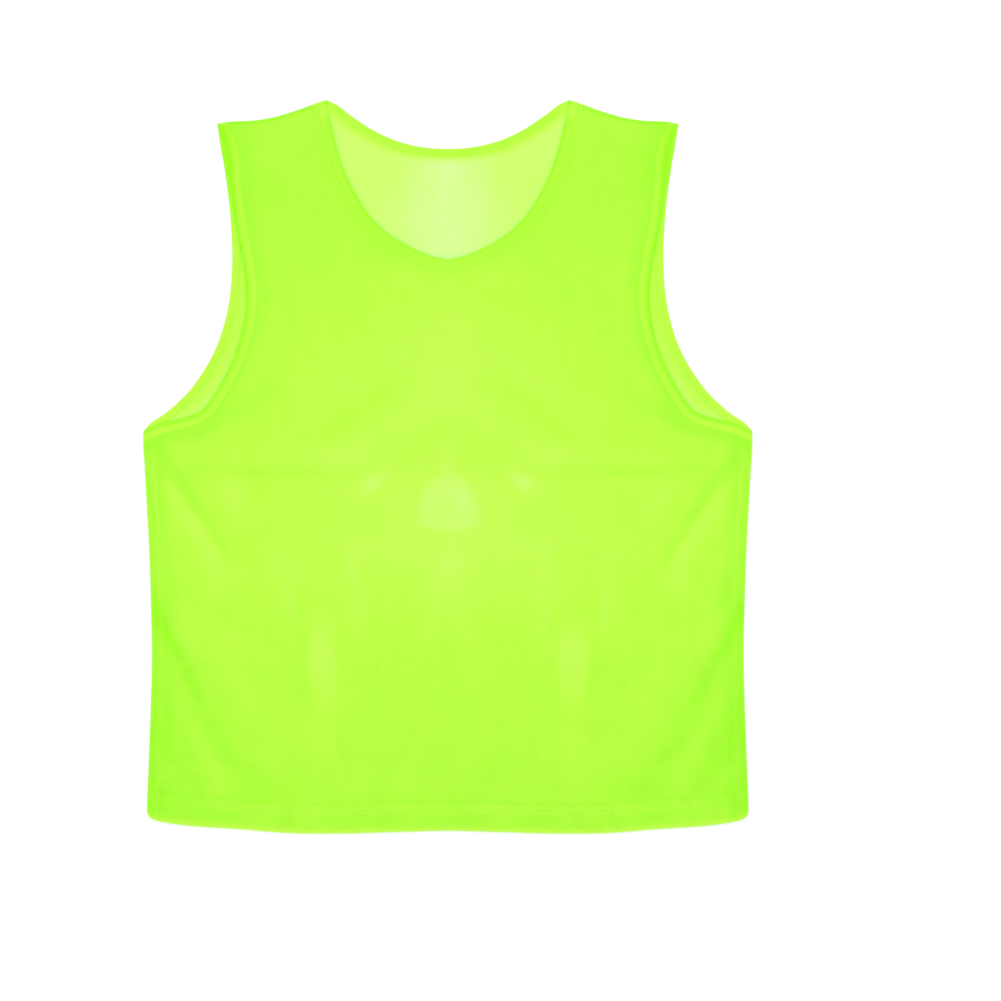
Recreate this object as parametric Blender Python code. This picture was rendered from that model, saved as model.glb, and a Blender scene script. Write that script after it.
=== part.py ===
"""Mesh training bib, laid flat on its back, at real size.

The back panel rests on the floor and the front panel lies on it, with a binding
round the neck and round each armhole. X runs across the chest, +Y from the hem
to the shoulders and +Z up, with the origin on the floor at the middle of the
garment. The tables are in millimetres and drawn for one half: "out" is the
distance from the centre line and "up" the height above the lowest of the hem.
"""

from typing import NamedTuple

import bmesh
import bpy
import numpy as np
from mathutils.geometry import delaunay_2d_cdt

MM = 0.001

# Driving dimensions
BODY_LENGTH = 650.0
HALF_CHEST = 270.0
HALF_SHOULDER = 203.0
SHOULDER_TIP_UP = 628.5
UNDERARM_UP = 355.5
WALL = 1.0
SEAM_GAP = 0.3
BINDING_WALL = 0.8
BINDING_LIP = 1.0
BINDING_ROUND = 0.3
HEM_DEPTH = 21.0
HEM_EXTRA = 0.5
HEM_STEP = 2.5

# Heights of the layers: the back panel, its bindings, and the front panel above them
BACK_TOP = WALL
SEAM_REST = BACK_TOP + SEAM_GAP
BINDING_REST = SEAM_REST + BINDING_WALL + SEAM_GAP

# How the front panel rises from its edges, and how finely it is divided
SEAM_RISE = 12.0
LOFT = 1.6
LOFT_RISE = 45.0
MARGIN = 1.5
MARGIN_REACH = 16.0
CURVE_STEP = 9.0
SIDE_STEP = 17.0
LATTICE_STEP = 15.0
FINE_STEPS = 24
END_REACH = 14.0


class EdgePoint(NamedTuple):
    """A point of a cut edge."""

    out: float
    up: float


class Fold(NamedTuple):
    """A soft ridge, or a trough where the height is negative, across the front."""

    name: str
    start: tuple
    end: tuple
    spread: float
    height: float


def edge(*rows):
    """Turns (out, up) rows into the points of one cut edge."""
    return [EdgePoint(*row) for row in rows]


# Shoulder line, from the neck to the tip
SHOULDER = edge(
    (107.4, BODY_LENGTH), (114.0, 648.0), (121.9, 644.9), (139.6, 639.3),
    (157.3, 634.4), (175.1, 631.8), (192.0, 630.6), (HALF_SHOULDER, SHOULDER_TIP_UP),
)

# Back neckline and front neckline, from the centre line to the shoulder
BACK_NECK = edge(
    (0.0, 606.3), (15.5, 607.0), (33.2, 610.0), (51.0, 615.6), (68.7, 624.4),
    (86.4, 636.3), (98.0, 645.0), SHOULDER[0],
)
FRONT_NECK = edge(
    (0.0, 508.8), (15.5, 512.6), (33.2, 520.3), (51.0, 531.3), (68.7, 548.6),
    (87.3, 579.3), (98.5, 606.0), (104.6, 634.0), SHOULDER[0],
)

# Armhole edges of the back and of the deeper cut front, from the tip to the underarm
BACK_ARMHOLE = edge(
    (HALF_SHOULDER, SHOULDER_TIP_UP), (197.2, 589.0), (192.6, 548.0), (191.0, 505.0),
    (195.0, 465.0), (206.5, 428.1), (226.0, 396.2), (246.9, 374.9), (262.5, 363.6),
    (269.6, UNDERARM_UP),
)
FRONT_ARMHOLE = edge(
    (HALF_SHOULDER, SHOULDER_TIP_UP), (196.6, 613.5), (192.7, 596.0), (191.2, 566.0),
    (187.3, 537.0), (181.6, 509.0), (178.0, 478.0), (180.4, 452.1), (189.5, 423.0),
    (204.6, 395.0), (218.6, 375.6), (236.0, 368.6), (256.0, 363.6), (269.2, UNDERARM_UP),
)

# Side edge from the underarm to the hem, and the hem from its corner to the centre
SIDE = edge(
    (HALF_CHEST, UNDERARM_UP - 3.0), (269.0, 332.4), (266.6, 290.0), (264.4, 250.0),
    (262.8, 200.0), (262.0, 160.0), (262.8, 120.0), (264.6, 70.0), (266.3, 24.0),
)
HEM = edge(
    (265.2, 16.4), (255.5, 11.3), (230.0, 6.9), (184.0, 3.8), (140.0, 0.4),
    (93.0, 0.0), (50.0, 1.2), (0.0, 2.6),
)

# Folds of the front panel, in (across, up) with the left side negative
FOLDS = [
    Fold("chest ridge left", (-185, 331), (-90, 334), 9, 2.2),
    Fold("chest ridge right", (90, 333), (188, 330), 9, 2.0),
    Fold("chest trough left", (-207, 322), (-82, 318), 10, -2.2),
    Fold("chest trough right", (84, 317), (210, 321), 10, -2.0),
    Fold("chevron ridge left", (-60, 328), (0, 374), 10, 2.0),
    Fold("chevron ridge right", (0, 374), (64, 328), 10, 1.9),
    Fold("chevron trough left", (-50, 318), (0, 359), 9, -1.8),
    Fold("chevron trough right", (0, 359), (55, 318), 9, -1.8),
    Fold("breast mound", (2, 286), (2, 318), 24, 3.0),
    Fold("flank mound left", (-192, 302), (-184, 286), 20, 1.9),
    Fold("flank mound right", (193, 302), (187, 286), 20, 1.7),
    Fold("underarm trough left", (-256, 338), (-232, 301), 11, -2.0),
    Fold("underarm trough right", (257, 338), (231, 301), 11, -2.0),
    Fold("flank trough left", (-232, 301), (-186, 236), 13, -2.3),
    Fold("flank trough right", (231, 301), (191, 234), 13, -2.1),
    Fold("flank ridge left", (-244, 280), (-206, 222), 13, 2.0),
    Fold("flank ridge right", (245, 284), (211, 228), 13, 1.8),
    Fold("waist trough left", (-258, 187), (-226, 137), 12, -1.8),
    Fold("waist trough right", (259, 189), (231, 137), 12, -1.8),
    Fold("skirt trough left", (-226, 137), (-172, 70), 14, -2.1),
    Fold("skirt trough right", (231, 137), (165, 64), 14, -2.2),
    Fold("skirt ridge left", (-244, 138), (-200, 78), 13, 1.6),
    Fold("skirt ridge right", (247, 140), (198, 76), 13, 1.5),
    Fold("corner trough left", (-252, 88), (-232, 54), 9, -1.2),
    Fold("streak left", (-112, 190), (-110, 121), 16, 2.2),
    Fold("streak right", (115, 192), (113, 119), 16, 2.0),
    Fold("low streak left", (-108, 110), (-104, 44), 15, 1.3),
    Fold("low streak right", (112, 108), (107, 48), 15, 1.1),
    Fold("high streak left", (-144, 234), (-142, 180), 13, 1.2),
    Fold("high streak right", (143, 230), (141, 182), 13, 1.1),
    Fold("middle streak left", (-84, 224), (-82, 188), 12, 1.0),
    Fold("middle streak", (3, 226), (1, 190), 14, 0.9),
]

NEON = (0.50, 0.93, 0.03, 1.0)
NEON_BINDING = (0.42, 0.88, 0.02, 1.0)


def smoothstep(low, high, value):
    """Goes smoothly from 0 at low to 1 at high."""
    share = np.clip((np.asarray(value, dtype=float) - low) / (high - low), 0.0, 1.0)
    return share * share * (3.0 - 2.0 * share)


def evenly(points, spacing):
    """Spaces points evenly along a polyline, keeping both its ends."""
    points = np.asarray(points, dtype=float)
    runs = np.linalg.norm(np.diff(points, axis=0), axis=1)
    travelled = np.concatenate(([0.0], np.cumsum(runs)))
    count = max(2, int(round(travelled[-1] / spacing)) + 1)
    stations = np.linspace(0.0, travelled[-1], count)
    columns = [np.interp(stations, travelled, points[:, axis]) for axis in (0, 1)]
    return np.column_stack(columns)


def smooth_curve(rows, spacing):
    """Draws a Catmull-Rom curve through the rows of a table."""
    knots = np.array(rows, dtype=float)
    before = 2.0 * knots[0] - knots[1]
    after = 2.0 * knots[-1] - knots[-2]
    padded = np.vstack((before, knots, after))
    fine = []
    for p0, p1, p2, p3 in zip(padded, padded[1:], padded[2:], padded[3:]):
        for t in np.linspace(0.0, 1.0, FINE_STEPS, endpoint=False):
            bend = (2.0 * p0 - 5.0 * p1 + 4.0 * p2 - p3) * t * t
            twist = (3.0 * p1 - p0 - 3.0 * p2 + p3) * t * t * t
            fine.append(0.5 * (2.0 * p1 + (p2 - p0) * t + bend + twist))
    fine.append(knots[-1])
    return evenly(fine, spacing)


def mirrored(points):
    """Reflects points in the centre line and runs through them backwards."""
    flipped = np.asarray(points, dtype=float)[::-1].copy()
    flipped[:, 0] *= -1.0
    return flipped


def unit(vector):
    """Scales a vector to length 1."""
    vector = np.asarray(vector, dtype=float)
    return vector / np.linalg.norm(vector)


class BoundEdge:
    """A cut edge with a binding: rows of points at chosen widths in from it.

    At each end the rows turn to lie along the seam that ends the binding there.
    """

    def __init__(self, rows, side, widths, start_along, end_along):
        self.curve = smooth_curve(rows, CURVE_STEP)
        tangents = np.gradient(self.curve, axis=0)
        tangents /= np.linalg.norm(tangents, axis=1)[:, None]
        inward = side * np.column_stack((-tangents[:, 1], tangents[:, 0]))
        runs = np.linalg.norm(np.diff(self.curve, axis=0), axis=1)
        travelled = np.concatenate(([0.0], np.cumsum(runs)))
        at_start = 1.0 - smoothstep(0.0, END_REACH, travelled)
        at_end = 1.0 - smoothstep(0.0, END_REACH, travelled[-1] - travelled)
        mixed = inward * (1.0 - at_start - at_end)[:, None]
        mixed += np.outer(at_start, unit(start_along))
        mixed += np.outer(at_end, unit(end_along))
        self.inward = mixed / np.linalg.norm(mixed, axis=1)[:, None]
        self.widths = np.interp(travelled, (0.0, travelled[-1]), widths)

    def row(self, depth):
        """Points at a fixed depth in from the edge."""
        return self.curve + self.inward * depth

    def inner_row(self, beyond=0.0):
        """Points at the binding's own width in from the edge, or a little beyond."""
        return self.curve + self.inward * (self.widths + beyond)[:, None]


def bound_edges():
    """Makes the bound edges of the right half, each directed as its table is."""
    along_shoulder = np.subtract(SHOULDER[2], SHOULDER[0])
    along_tip = np.subtract(SHOULDER[-2], SHOULDER[-1])
    down = (0.0, -1.0)
    return {
        "back_neck": BoundEdge(BACK_NECK, -1, (8.5, 8.5), down, along_shoulder),
        "front_neck": BoundEdge(FRONT_NECK, -1, (8.5, 14.0), down, along_shoulder),
        "back_armhole": BoundEdge(BACK_ARMHOLE, -1, (8.5, 8.5), along_tip, down),
        "front_armhole": BoundEdge(FRONT_ARMHOLE, -1, (11.5, 12.0), along_tip, down),
    }


def seam_edge(rows, first, last, spacing):
    """Draws a seam edge from one bound corner to the next, trimmed to both."""
    curve = smooth_curve(rows, spacing)
    clear_of_first = np.linalg.norm(curve - first, axis=1) > 0.5 * spacing
    clear_of_last = np.linalg.norm(curve - last, axis=1) > 0.5 * spacing
    nearer = int(np.argmin(np.linalg.norm(curve - first, axis=1)))
    further = int(np.argmin(np.linalg.norm(curve - last, axis=1)))
    inside = np.zeros(len(curve), dtype=bool)
    inside[nearer:further + 1] = True
    return curve[inside & clear_of_first & clear_of_last]


def panel_outline(neck, armhole):
    """Outline of a panel, anticlockwise from the middle of its hem.

    Returns the outline and the guide rows that mark the inner edge of each
    binding's margin; a guide ends on points of the outline.
    """
    inset = BINDING_LIP + SEAM_GAP
    neck_row = neck.row(inset)
    neck_guide = neck.inner_row(MARGIN)
    arm_row = armhole.row(inset)
    arm_guide = armhole.inner_row(MARGIN)
    shoulder = seam_edge(SHOULDER, neck_guide[-1], arm_guide[0], CURVE_STEP)
    side = seam_edge(SIDE + HEM[:1], arm_guide[-1], np.array(HEM[0]), SIDE_STEP)
    hem = smooth_curve(HEM, SIDE_STEP)
    right = np.vstack((
        hem[::-1], side[::-1], arm_guide[-1:], arm_row[::-1], arm_guide[:1],
        shoulder[::-1], neck_guide[-1:], neck_row[::-1],
    ))
    left = mirrored(right)[1:-1]
    guides = [neck_guide, arm_guide]
    guides += [mirrored(guide) for guide in guides]
    return np.vstack((right, left)), guides


def distance_to(points, lines):
    """Distance from each point to the nearest of some polylines."""
    points = np.asarray(points, dtype=float)
    best = np.full(len(points), np.inf)
    for line in lines:
        for start, end in zip(line, line[1:]):
            run = end - start
            share = np.clip((points - start) @ run / (run @ run), 0.0, 1.0)
            gap = np.linalg.norm(points - start - np.outer(share, run), axis=1)
            best = np.minimum(best, gap)
    return best


def hem_height(across):
    """Height of the hem's lower edge at a distance across."""
    rows = sorted(HEM)
    return np.interp(np.abs(across), [row.out for row in rows], [row.up for row in rows])


def hem_guides():
    """Rows along the foot and the top of the step where the hem's turn-up ends."""
    reach = HEM[0].out - SIDE_STEP / 2.0
    across = np.linspace(-reach, reach, 2 * int(reach / SIDE_STEP) + 1)
    depths = (HEM_DEPTH - HEM_STEP, HEM_DEPTH)
    return [np.column_stack((across, hem_height(across) + depth)) for depth in depths]


def fold_height(points, fold):
    """Height that one fold adds: widest and highest at the middle of its run."""
    start = np.array(fold.start, dtype=float)
    run = np.array(fold.end, dtype=float) - start
    share = np.clip((points - start) @ run / (run @ run), 0.0, 1.0)
    gap = np.linalg.norm(points - start - np.outer(share, run), axis=1)
    swell = 0.45 + 0.55 * np.sin(np.pi * share)
    return fold.height * swell * np.exp(-(gap / fold.spread) ** 2)


class FrontForm:
    """The height of the front panel's wall over the floor."""

    def __init__(self, edges):
        bound = [item.curve for item in edges.values()]
        seams = [smooth_curve(SHOULDER, CURVE_STEP)]
        seams += [smooth_curve(rows, SIDE_STEP) for rows in (SIDE, HEM)]
        self.bound = bound + [mirrored(curve) for curve in bound]
        self.seams = seams + [mirrored(curve) for curve in seams]

    def lower(self, points):
        """Lower face: at rest along the seams, and over the bindings near them."""
        to_seam = distance_to(points, self.seams)
        to_bound = distance_to(points, self.bound)
        off_bindings = smoothstep(MARGIN_REACH, MARGIN_REACH + SEAM_RISE, to_bound)
        at_seam = (1.0 - smoothstep(0.0, SEAM_RISE, to_seam)) * off_bindings
        base = BINDING_REST - (BINDING_REST - SEAM_REST) * at_seam
        to_margin = np.minimum(to_seam, np.maximum(0.0, to_bound - MARGIN_REACH))
        free = smoothstep(0.0, LOFT_RISE, to_margin)
        folds = sum(fold_height(points, fold) for fold in FOLDS)
        return np.maximum(SEAM_REST, base + free * (LOFT + folds))

    def upper(self, points):
        """Upper face: the wall's thickness above the lower, and more at the hem."""
        above_hem = points[:, 1] - hem_height(points[:, 0])
        doubled = 1.0 - smoothstep(HEM_DEPTH - HEM_STEP, HEM_DEPTH, above_hem)
        return self.lower(points) + WALL + HEM_EXTRA * doubled


def lattice(outline, guides, spacing):
    """Staggered points inside an outline, clear of it and of the guide rows."""
    reach = spacing * 0.62
    rows = int(BODY_LENGTH / (spacing * 0.866)) + 1
    columns = int(HALF_CHEST / spacing) + 1
    points = []
    for row in range(rows):
        for column in range(-columns, columns + 1):
            shift = 0.5 * (row % 2)
            points.append(((column + shift) * spacing, row * spacing * 0.866))
    points = np.array(points)
    closed = np.vstack((outline, outline[:1]))
    points = points[distance_to(points, [closed] + list(guides)) > reach]
    return points[inside_of(points, outline)]


def inside_of(points, outline):
    """Says which points lie inside a closed outline."""
    odd = np.zeros(len(points), dtype=bool)
    for start, end in zip(outline, np.roll(outline, -1, axis=0)):
        if start[1] == end[1]:
            continue
        spans = (points[:, 1] >= min(start[1], end[1])) & (points[:, 1] < max(start[1], end[1]))
        cross = start[0] + (points[:, 1] - start[1]) * (end[0] - start[0]) / (end[1] - start[1])
        odd ^= spans & (points[:, 0] < cross)
    return odd


def to_world(points, heights):
    """Turns plan points and heights into vertices in metres about the origin."""
    return [
        (across * MM, (up - BODY_LENGTH / 2.0) * MM, height * MM)
        for (across, up), height in zip(points, heights)
    ]


def add_object(name, vertices, faces, colour, smooth=False):
    """Makes an object with a material of its own from vertices and faces."""
    mesh = bpy.data.meshes.new(name)
    mesh.from_pydata(vertices, [], faces)
    mesh.validate()
    obj = bpy.data.objects.new(name, mesh)
    bpy.context.scene.collection.objects.link(obj)
    material = bpy.data.materials.new(name + "_cloth")
    material.use_nodes = True
    shader = material.node_tree.nodes["Principled BSDF"]
    shader.inputs["Base Color"].default_value = colour
    shader.inputs["Roughness"].default_value = 0.55
    shader.inputs["Metallic"].default_value = 0.0
    mesh.materials.append(material)
    if smooth:
        mesh.shade_smooth()
        mesh.set_sharp_from_angle(angle=0.7)
    return obj


def make_panel(name, outline, guides, inner, lower, upper):
    """Makes a wall between two height functions over an outline."""
    count = len(outline)
    points = [tuple(point) for point in outline]
    edges = [(index, (index + 1) % count) for index in range(count)]
    for guide in guides:
        first = len(points)
        points += [tuple(point) for point in guide]
        edges += [(first + index, first + index + 1) for index in range(len(guide) - 1)]
    points += [tuple(point) for point in inner]
    found = delaunay_2d_cdt(points, edges, [], 1, 0.01)
    plan = np.array([tuple(point) for point in found[0]])
    triangles = [list(face) for face in found[2]]
    for face in triangles:
        a, b, c = plan[face]
        if (b[0] - a[0]) * (c[1] - a[1]) < (b[1] - a[1]) * (c[0] - a[0]):
            face.reverse()
    total = len(plan)
    vertices = to_world(plan, upper(plan)) + to_world(plan, lower(plan))
    faces = list(triangles)
    faces += [[index + total for index in reversed(face)] for face in triangles]
    directed = {(face[i], face[(i + 1) % 3]) for face in triangles for i in range(3)}
    for start, end in directed:
        if (end, start) not in directed:
            faces.append([start + total, end + total, end, start])
    return add_object(name, vertices, faces, NEON, smooth=True)


def make_binding(name, edges, foot, rest):
    """Makes a binding: a strip on the cloth's face with a lip over its cut edge.

    The section runs from the lip's foot round the outside to the strip's inner
    edge and back under it. `rest` is the height of the face that it lies on.
    """
    under = rest + SEAM_GAP
    top = under + BINDING_WALL
    rings = []
    for item in edges:
        section = [
            (item.row(0.0), foot),
            (item.row(0.0), top - BINDING_ROUND),
            (item.row(BINDING_ROUND), top),
            (item.inner_row(-BINDING_ROUND), top),
            (item.inner_row(), top - BINDING_ROUND),
            (item.inner_row(), under),
            (item.row(BINDING_LIP), under),
            (item.row(BINDING_LIP), foot),
        ]
        rows = [to_world(points, np.full(len(points), height)) for points, height in section]
        repeated = 1 if rings else 0
        rings += [list(ring) for ring in zip(*rows)][repeated:]
    size = len(rings[0])
    vertices = [vertex for ring in rings for vertex in ring]
    faces = []
    for ring in range(len(rings) - 1):
        for index in range(size):
            a = ring * size + index
            b = ring * size + (index + 1) % size
            faces.append([a, b, b + size, a + size])
    faces.append(list(range(size))[::-1])
    last = (len(rings) - 1) * size
    faces.append([last + index for index in range(size)])
    obj = add_object(name, vertices, faces, NEON_BINDING)
    face_outwards(obj)
    return obj


def face_outwards(obj):
    """Turns a closed mesh's faces outwards by the sign of its volume."""
    shell = bmesh.new()
    shell.from_mesh(obj.data)
    if shell.calc_volume(signed=True) < 0.0:
        bmesh.ops.reverse_faces(shell, faces=shell.faces)
    shell.to_mesh(obj.data)
    shell.free()


class MirroredEdge:
    """The other half of a bound edge, run backwards so that two halves join."""

    def __init__(self, item):
        self.item = item

    def row(self, depth):
        """Points at a fixed depth in from the edge."""
        return mirrored(self.item.row(depth))

    def inner_row(self, beyond=0.0):
        """Points at the binding's own width in from the edge, or a little beyond."""
        return mirrored(self.item.inner_row(beyond))


def main():
    """Builds the panels and the bindings."""
    for obj in list(bpy.data.objects):
        bpy.data.objects.remove(obj, do_unlink=True)
    edges = bound_edges()
    front = FrontForm(edges)
    back_outline, _ = panel_outline(edges["back_neck"], edges["back_armhole"])
    front_outline, guides = panel_outline(edges["front_neck"], edges["front_armhole"])
    guides += hem_guides()
    inner = lattice(front_outline, guides, LATTICE_STEP)
    make_panel("back_panel", back_outline, [], [],
               lambda points: np.zeros(len(points)),
               lambda points: np.full(len(points), BACK_TOP))
    make_panel("front_panel", front_outline, guides, inner, front.lower, front.upper)
    layers = {"front": (BINDING_REST, BINDING_REST + WALL), "back": (0.0, BACK_TOP)}
    for side, (foot, rest) in layers.items():
        neck = edges[side + "_neck"]
        armhole = edges[side + "_armhole"]
        make_binding(side + "_neck_binding", [MirroredEdge(neck), neck], foot, rest)
        make_binding("right_" + side + "_armhole_binding", [armhole], foot, rest)
        make_binding("left_" + side + "_armhole_binding", [MirroredEdge(armhole)], foot, rest)


main()
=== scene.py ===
"""Looks of a mesh training bib, laid flat on its back on a pale floor.

Plan sizes are in millimetres and follow the garment's cut: "out" is the distance
from the centre line and "up" the height above the lowest point of the hem. The
meshes are made in metres about the middle of the garment, as the frame's are.
"""

from __future__ import annotations

import logging
import math
from dataclasses import dataclass
from enum import Enum
from typing import NamedTuple, Optional, Sequence, Union

import bpy
import numpy as np
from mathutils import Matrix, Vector
from mathutils.geometry import delaunay_2d_cdt

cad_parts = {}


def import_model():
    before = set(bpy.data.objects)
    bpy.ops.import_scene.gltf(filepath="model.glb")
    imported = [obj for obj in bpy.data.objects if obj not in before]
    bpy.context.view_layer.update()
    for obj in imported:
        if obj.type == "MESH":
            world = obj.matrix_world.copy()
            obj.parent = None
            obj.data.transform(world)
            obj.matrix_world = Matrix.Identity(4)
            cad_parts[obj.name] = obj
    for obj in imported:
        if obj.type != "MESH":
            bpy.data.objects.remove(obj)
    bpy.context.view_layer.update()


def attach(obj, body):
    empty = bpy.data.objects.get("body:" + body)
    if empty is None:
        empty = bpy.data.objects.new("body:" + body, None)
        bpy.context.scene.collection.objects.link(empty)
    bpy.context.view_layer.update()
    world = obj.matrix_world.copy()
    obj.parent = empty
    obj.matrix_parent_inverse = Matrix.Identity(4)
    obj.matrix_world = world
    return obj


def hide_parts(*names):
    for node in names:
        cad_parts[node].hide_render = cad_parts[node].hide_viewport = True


LOG = logging.getLogger("bib")
Array = np.ndarray
Node = bpy.types.Node
Socket = bpy.types.NodeSocket
Value = Union[float, tuple, Socket]
Inputs = dict[Union[int, str], Value]
Tones = Sequence[tuple[float, float]]

MM = 0.001
BODY = "root"

# Driving dimensions of the cut, and a flat panel's width and length in metres
BODY_LENGTH = 650.0
HALF_CHEST = 270.0
HALF_SHOULDER = 204.3
SHOULDER_TIP_UP = 628.3
UNDERARM_UP = 356.3
HEM_DEPTH = 21.0

# Half of the cloth's and of a binding's thickness, and how high the middle of each
# layer lies over the floor: the back's cloth and strips, the front's seams and strips
SHEET_HALF = 0.25
BINDING_HALF = 0.72
BACK_REST = 0.45
BACK_BOUND = 0.85
FRONT_SEAM = 1.02
FRONT_BOUND = 2.40

# The turned-up hems: half of the cloth that they add, the step at their top, how
# much the front's hem is lifted by the back's, and their rows of stitches
HEM_HALF = 0.18
HEM_STEP = 2.5
HEM_LIFT = 0.34
HEM_STITCHES = (22.0, 18.2)
HEM_SEWING_LOW = 0.26
HEM_SEWING_SUNK = 0.02
HEM_SEWING_END = 2.0
HEM_SEWING_POINTS = 240

# How the hem gathers along its stitches
PUCKER_LENGTH = 11.0
PUCKER_HEIGHT = 0.10
PUCKER_REACH = 7.0
PUCKER_REST = 0.8
PUCKER_DRIFT = 1.4
PUCKER_DRIFT_LENGTH = 37.0

# How the front rises from its edges
SEAM_RISE = 12.0
SEWN_REACH = 0.4
LOFT = 1.6
LOFT_RISE = 45.0
MARGIN_REACH = 16.0
FOLD_SHARE = 0.6
FOLD_SWELL = 0.55
CREASE_SWELL = 0.45

# How finely the edges are drawn, how far a binding's end turns with its seam, and
# the angle past which an edge looks sharp
FINE_STEPS = 24
PANEL_STEP = 3.2
BINDING_STEP = 2.2
END_REACH = 14.0
SHARP_ANGLE = 62.0


class EdgePoint(NamedTuple):
    """A point of a cut edge."""

    out: float
    up: float


class Fold(NamedTuple):
    """A soft ridge, or a trough where the height is negative."""

    name: str
    start: tuple[float, float]
    end: tuple[float, float]
    spread: float
    height: float


class Ripple(NamedTuple):
    """One train of slight waves over the cloth."""

    length: float
    heading: float
    height: float


class Patch(NamedTuple):
    """A place painted paler or deeper on the cloth: a painted highlight where the
    amount is positive, painted shade where it is negative.

    Crisp 2 has soft edges, more than that has clearer ones. Below is the reach
    downwards where it isn't the reach upwards.
    """

    name: str
    centre: tuple[float, float]
    reach: tuple[float, float]
    amount: float
    crisp: float = 2.0
    below: float = 0.0


class Crease(NamedTuple):
    """A soft line in the cloth, raised or sunk, with a painted highlight on a ridge and
    painted shade in a trough.
    """

    name: str
    path: tuple[tuple[float, float], ...]
    reach: tuple[float, float]
    amount: float


class SeamLine(NamedTuple):
    """A line along an edge of a panel, in the colour and in the relief."""

    name: str
    measure: str
    centre: float
    half: float
    tone: float
    relief: float


class Layer(Enum):
    """The two layers of the bib."""

    FRONT = "front"
    BACK = "back"


def edge(*rows: tuple[float, float]) -> list[EdgePoint]:
    """Turns (out, up) rows into the points of one cut edge."""
    return [EdgePoint(*row) for row in rows]


SHOULDER = edge(
    (107.4, 649.5), (113.6, 648.0), (121.9, 644.6), (139.6, 638.6),
    (157.3, 633.7), (175.1, 631.2), (192.0, 630.3), (HALF_SHOULDER, SHOULDER_TIP_UP),
)
BACK_NECK = edge(
    (0.0, 606.3), (15.5, 607.0), (33.2, 610.0), (51.0, 615.6), (68.7, 624.4),
    (86.4, 636.3), (98.0, 645.2), SHOULDER[0],
)
FRONT_NECK = edge(
    (0.0, 508.0), (15.7, 511.8), (33.9, 519.5), (51.8, 530.5), (69.9, 547.8),
    (88.2, 578.9), (97.8, 606.0), (104.6, 634.0), SHOULDER[0],
)
BACK_ARMHOLE = edge(
    (HALF_SHOULDER, SHOULDER_TIP_UP), (201.4, 609.0), (197.6, 588.0), (192.7, 548.0),
    (191.0, 505.0), (194.8, 465.0), (206.2, 428.1), (225.7, 396.2), (246.6, 375.1), (262.5, 364.0),
    (269.6, UNDERARM_UP),
)
FRONT_ARMHOLE = edge(
    (HALF_SHOULDER, SHOULDER_TIP_UP), (197.6, 612.5), (193.6, 596.0), (191.2, 566.0),
    (187.3, 537.0), (181.6, 509.0), (178.0, 478.0), (180.4, 452.1), (188.8, 423.0),
    (203.3, 394.6), (217.8, 374.7), (236.0, 367.6), (256.0, 362.6), (269.2, UNDERARM_UP),
)
SIDE = edge(
    (HALF_CHEST, UNDERARM_UP - 3.0), (269.0, 332.4), (266.6, 290.0), (264.4, 250.0),
    (262.8, 200.0), (262.0, 160.0), (262.8, 120.0), (264.6, 70.0), (266.3, 24.0),
)
HEM = edge(
    (265.9, 17.2), (263.4, 14.0), (256.5, 11.0), (230.0, 6.9), (184.0, 3.8), (140.0, 0.4),
    (93.0, 0.0), (50.0, 1.2), (0.0, 2.6),
)

# The largest folds, in (across, up) with the left side negative
FOLDS = [
    Fold("chest ridge left", (-185, 331), (-90, 334), 9, 2.2),
    Fold("chest ridge right", (90, 333), (188, 330), 9, 2.0),
    Fold("chest trough left", (-207, 319), (-80, 315), 9, -2.2),
    Fold("chest trough right", (82, 314), (210, 318), 9, -2.0),
    Fold("chevron ridge left", (-60, 330), (0, 376), 11, 1.5),
    Fold("chevron ridge right", (0, 376), (64, 330), 11, 1.4),
    Fold("chevron trough left", (-44, 322), (0, 359), 9, -0.9),
    Fold("chevron trough right", (0, 359), (50, 322), 9, -1.2),
    Fold("breast mound", (2, 282), (2, 312), 26, 2.4),
    Fold("flank mound left", (-192, 302), (-184, 286), 20, 1.9),
    Fold("flank mound right", (193, 302), (187, 286), 20, 1.7),
    Fold("underarm trough left", (-256, 338), (-232, 301), 11, -2.0),
    Fold("underarm trough right", (257, 338), (231, 301), 11, -2.0),
    Fold("flank trough left", (-232, 301), (-186, 236), 13, -2.3),
    Fold("flank trough right", (231, 301), (191, 234), 13, -2.1),
    Fold("flank ridge left", (-244, 280), (-206, 222), 13, 2.0),
    Fold("flank ridge right", (245, 284), (211, 228), 13, 1.8),
    Fold("waist trough left", (-256, 190), (-224, 135), 9, -2.0),
    Fold("waist trough right", (257, 192), (228, 135), 9, -2.0),
    Fold("skirt trough left", (-224, 135), (-178, 72), 12, -1.6),
    Fold("skirt trough right", (228, 135), (172, 68), 12, -1.7),
    Fold("skirt ridge left", (-244, 138), (-200, 78), 13, 1.6),
    Fold("skirt ridge right", (247, 140), (198, 76), 13, 1.5),
    Fold("corner trough left", (-252, 88), (-232, 54), 9, -1.2),
    Fold("streak left", (-112, 190), (-110, 121), 16, 2.2),
    Fold("streak right", (115, 192), (113, 119), 16, 2.0),
    Fold("low streak left", (-108, 110), (-104, 44), 15, 1.3),
    Fold("low streak right", (112, 108), (107, 48), 15, 1.1),
    Fold("high streak left", (-144, 234), (-142, 180), 13, 1.2),
    Fold("high streak right", (143, 230), (141, 182), 13, 1.1),
    Fold("middle streak left", (-84, 224), (-82, 188), 12, 1.0),
    Fold("middle streak", (3, 226), (1, 190), 14, 0.9),
]

# Slight waves of the front and of the back's bare cloth, with length and height in
# millimetres and heading in degrees
FRONT_RIPPLES = [
    Ripple(83.0, 18.0, 0.22), Ripple(61.0, 104.0, 0.18), Ripple(47.0, 151.0, 0.14),
    Ripple(31.0, 66.0, 0.09), Ripple(23.0, 128.0, 0.05),
]
BACK_RIPPLES = [Ripple(74.0, 82.0, 0.12), Ripple(52.0, 24.0, 0.09), Ripple(33.0, 140.0, 0.05)]
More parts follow.
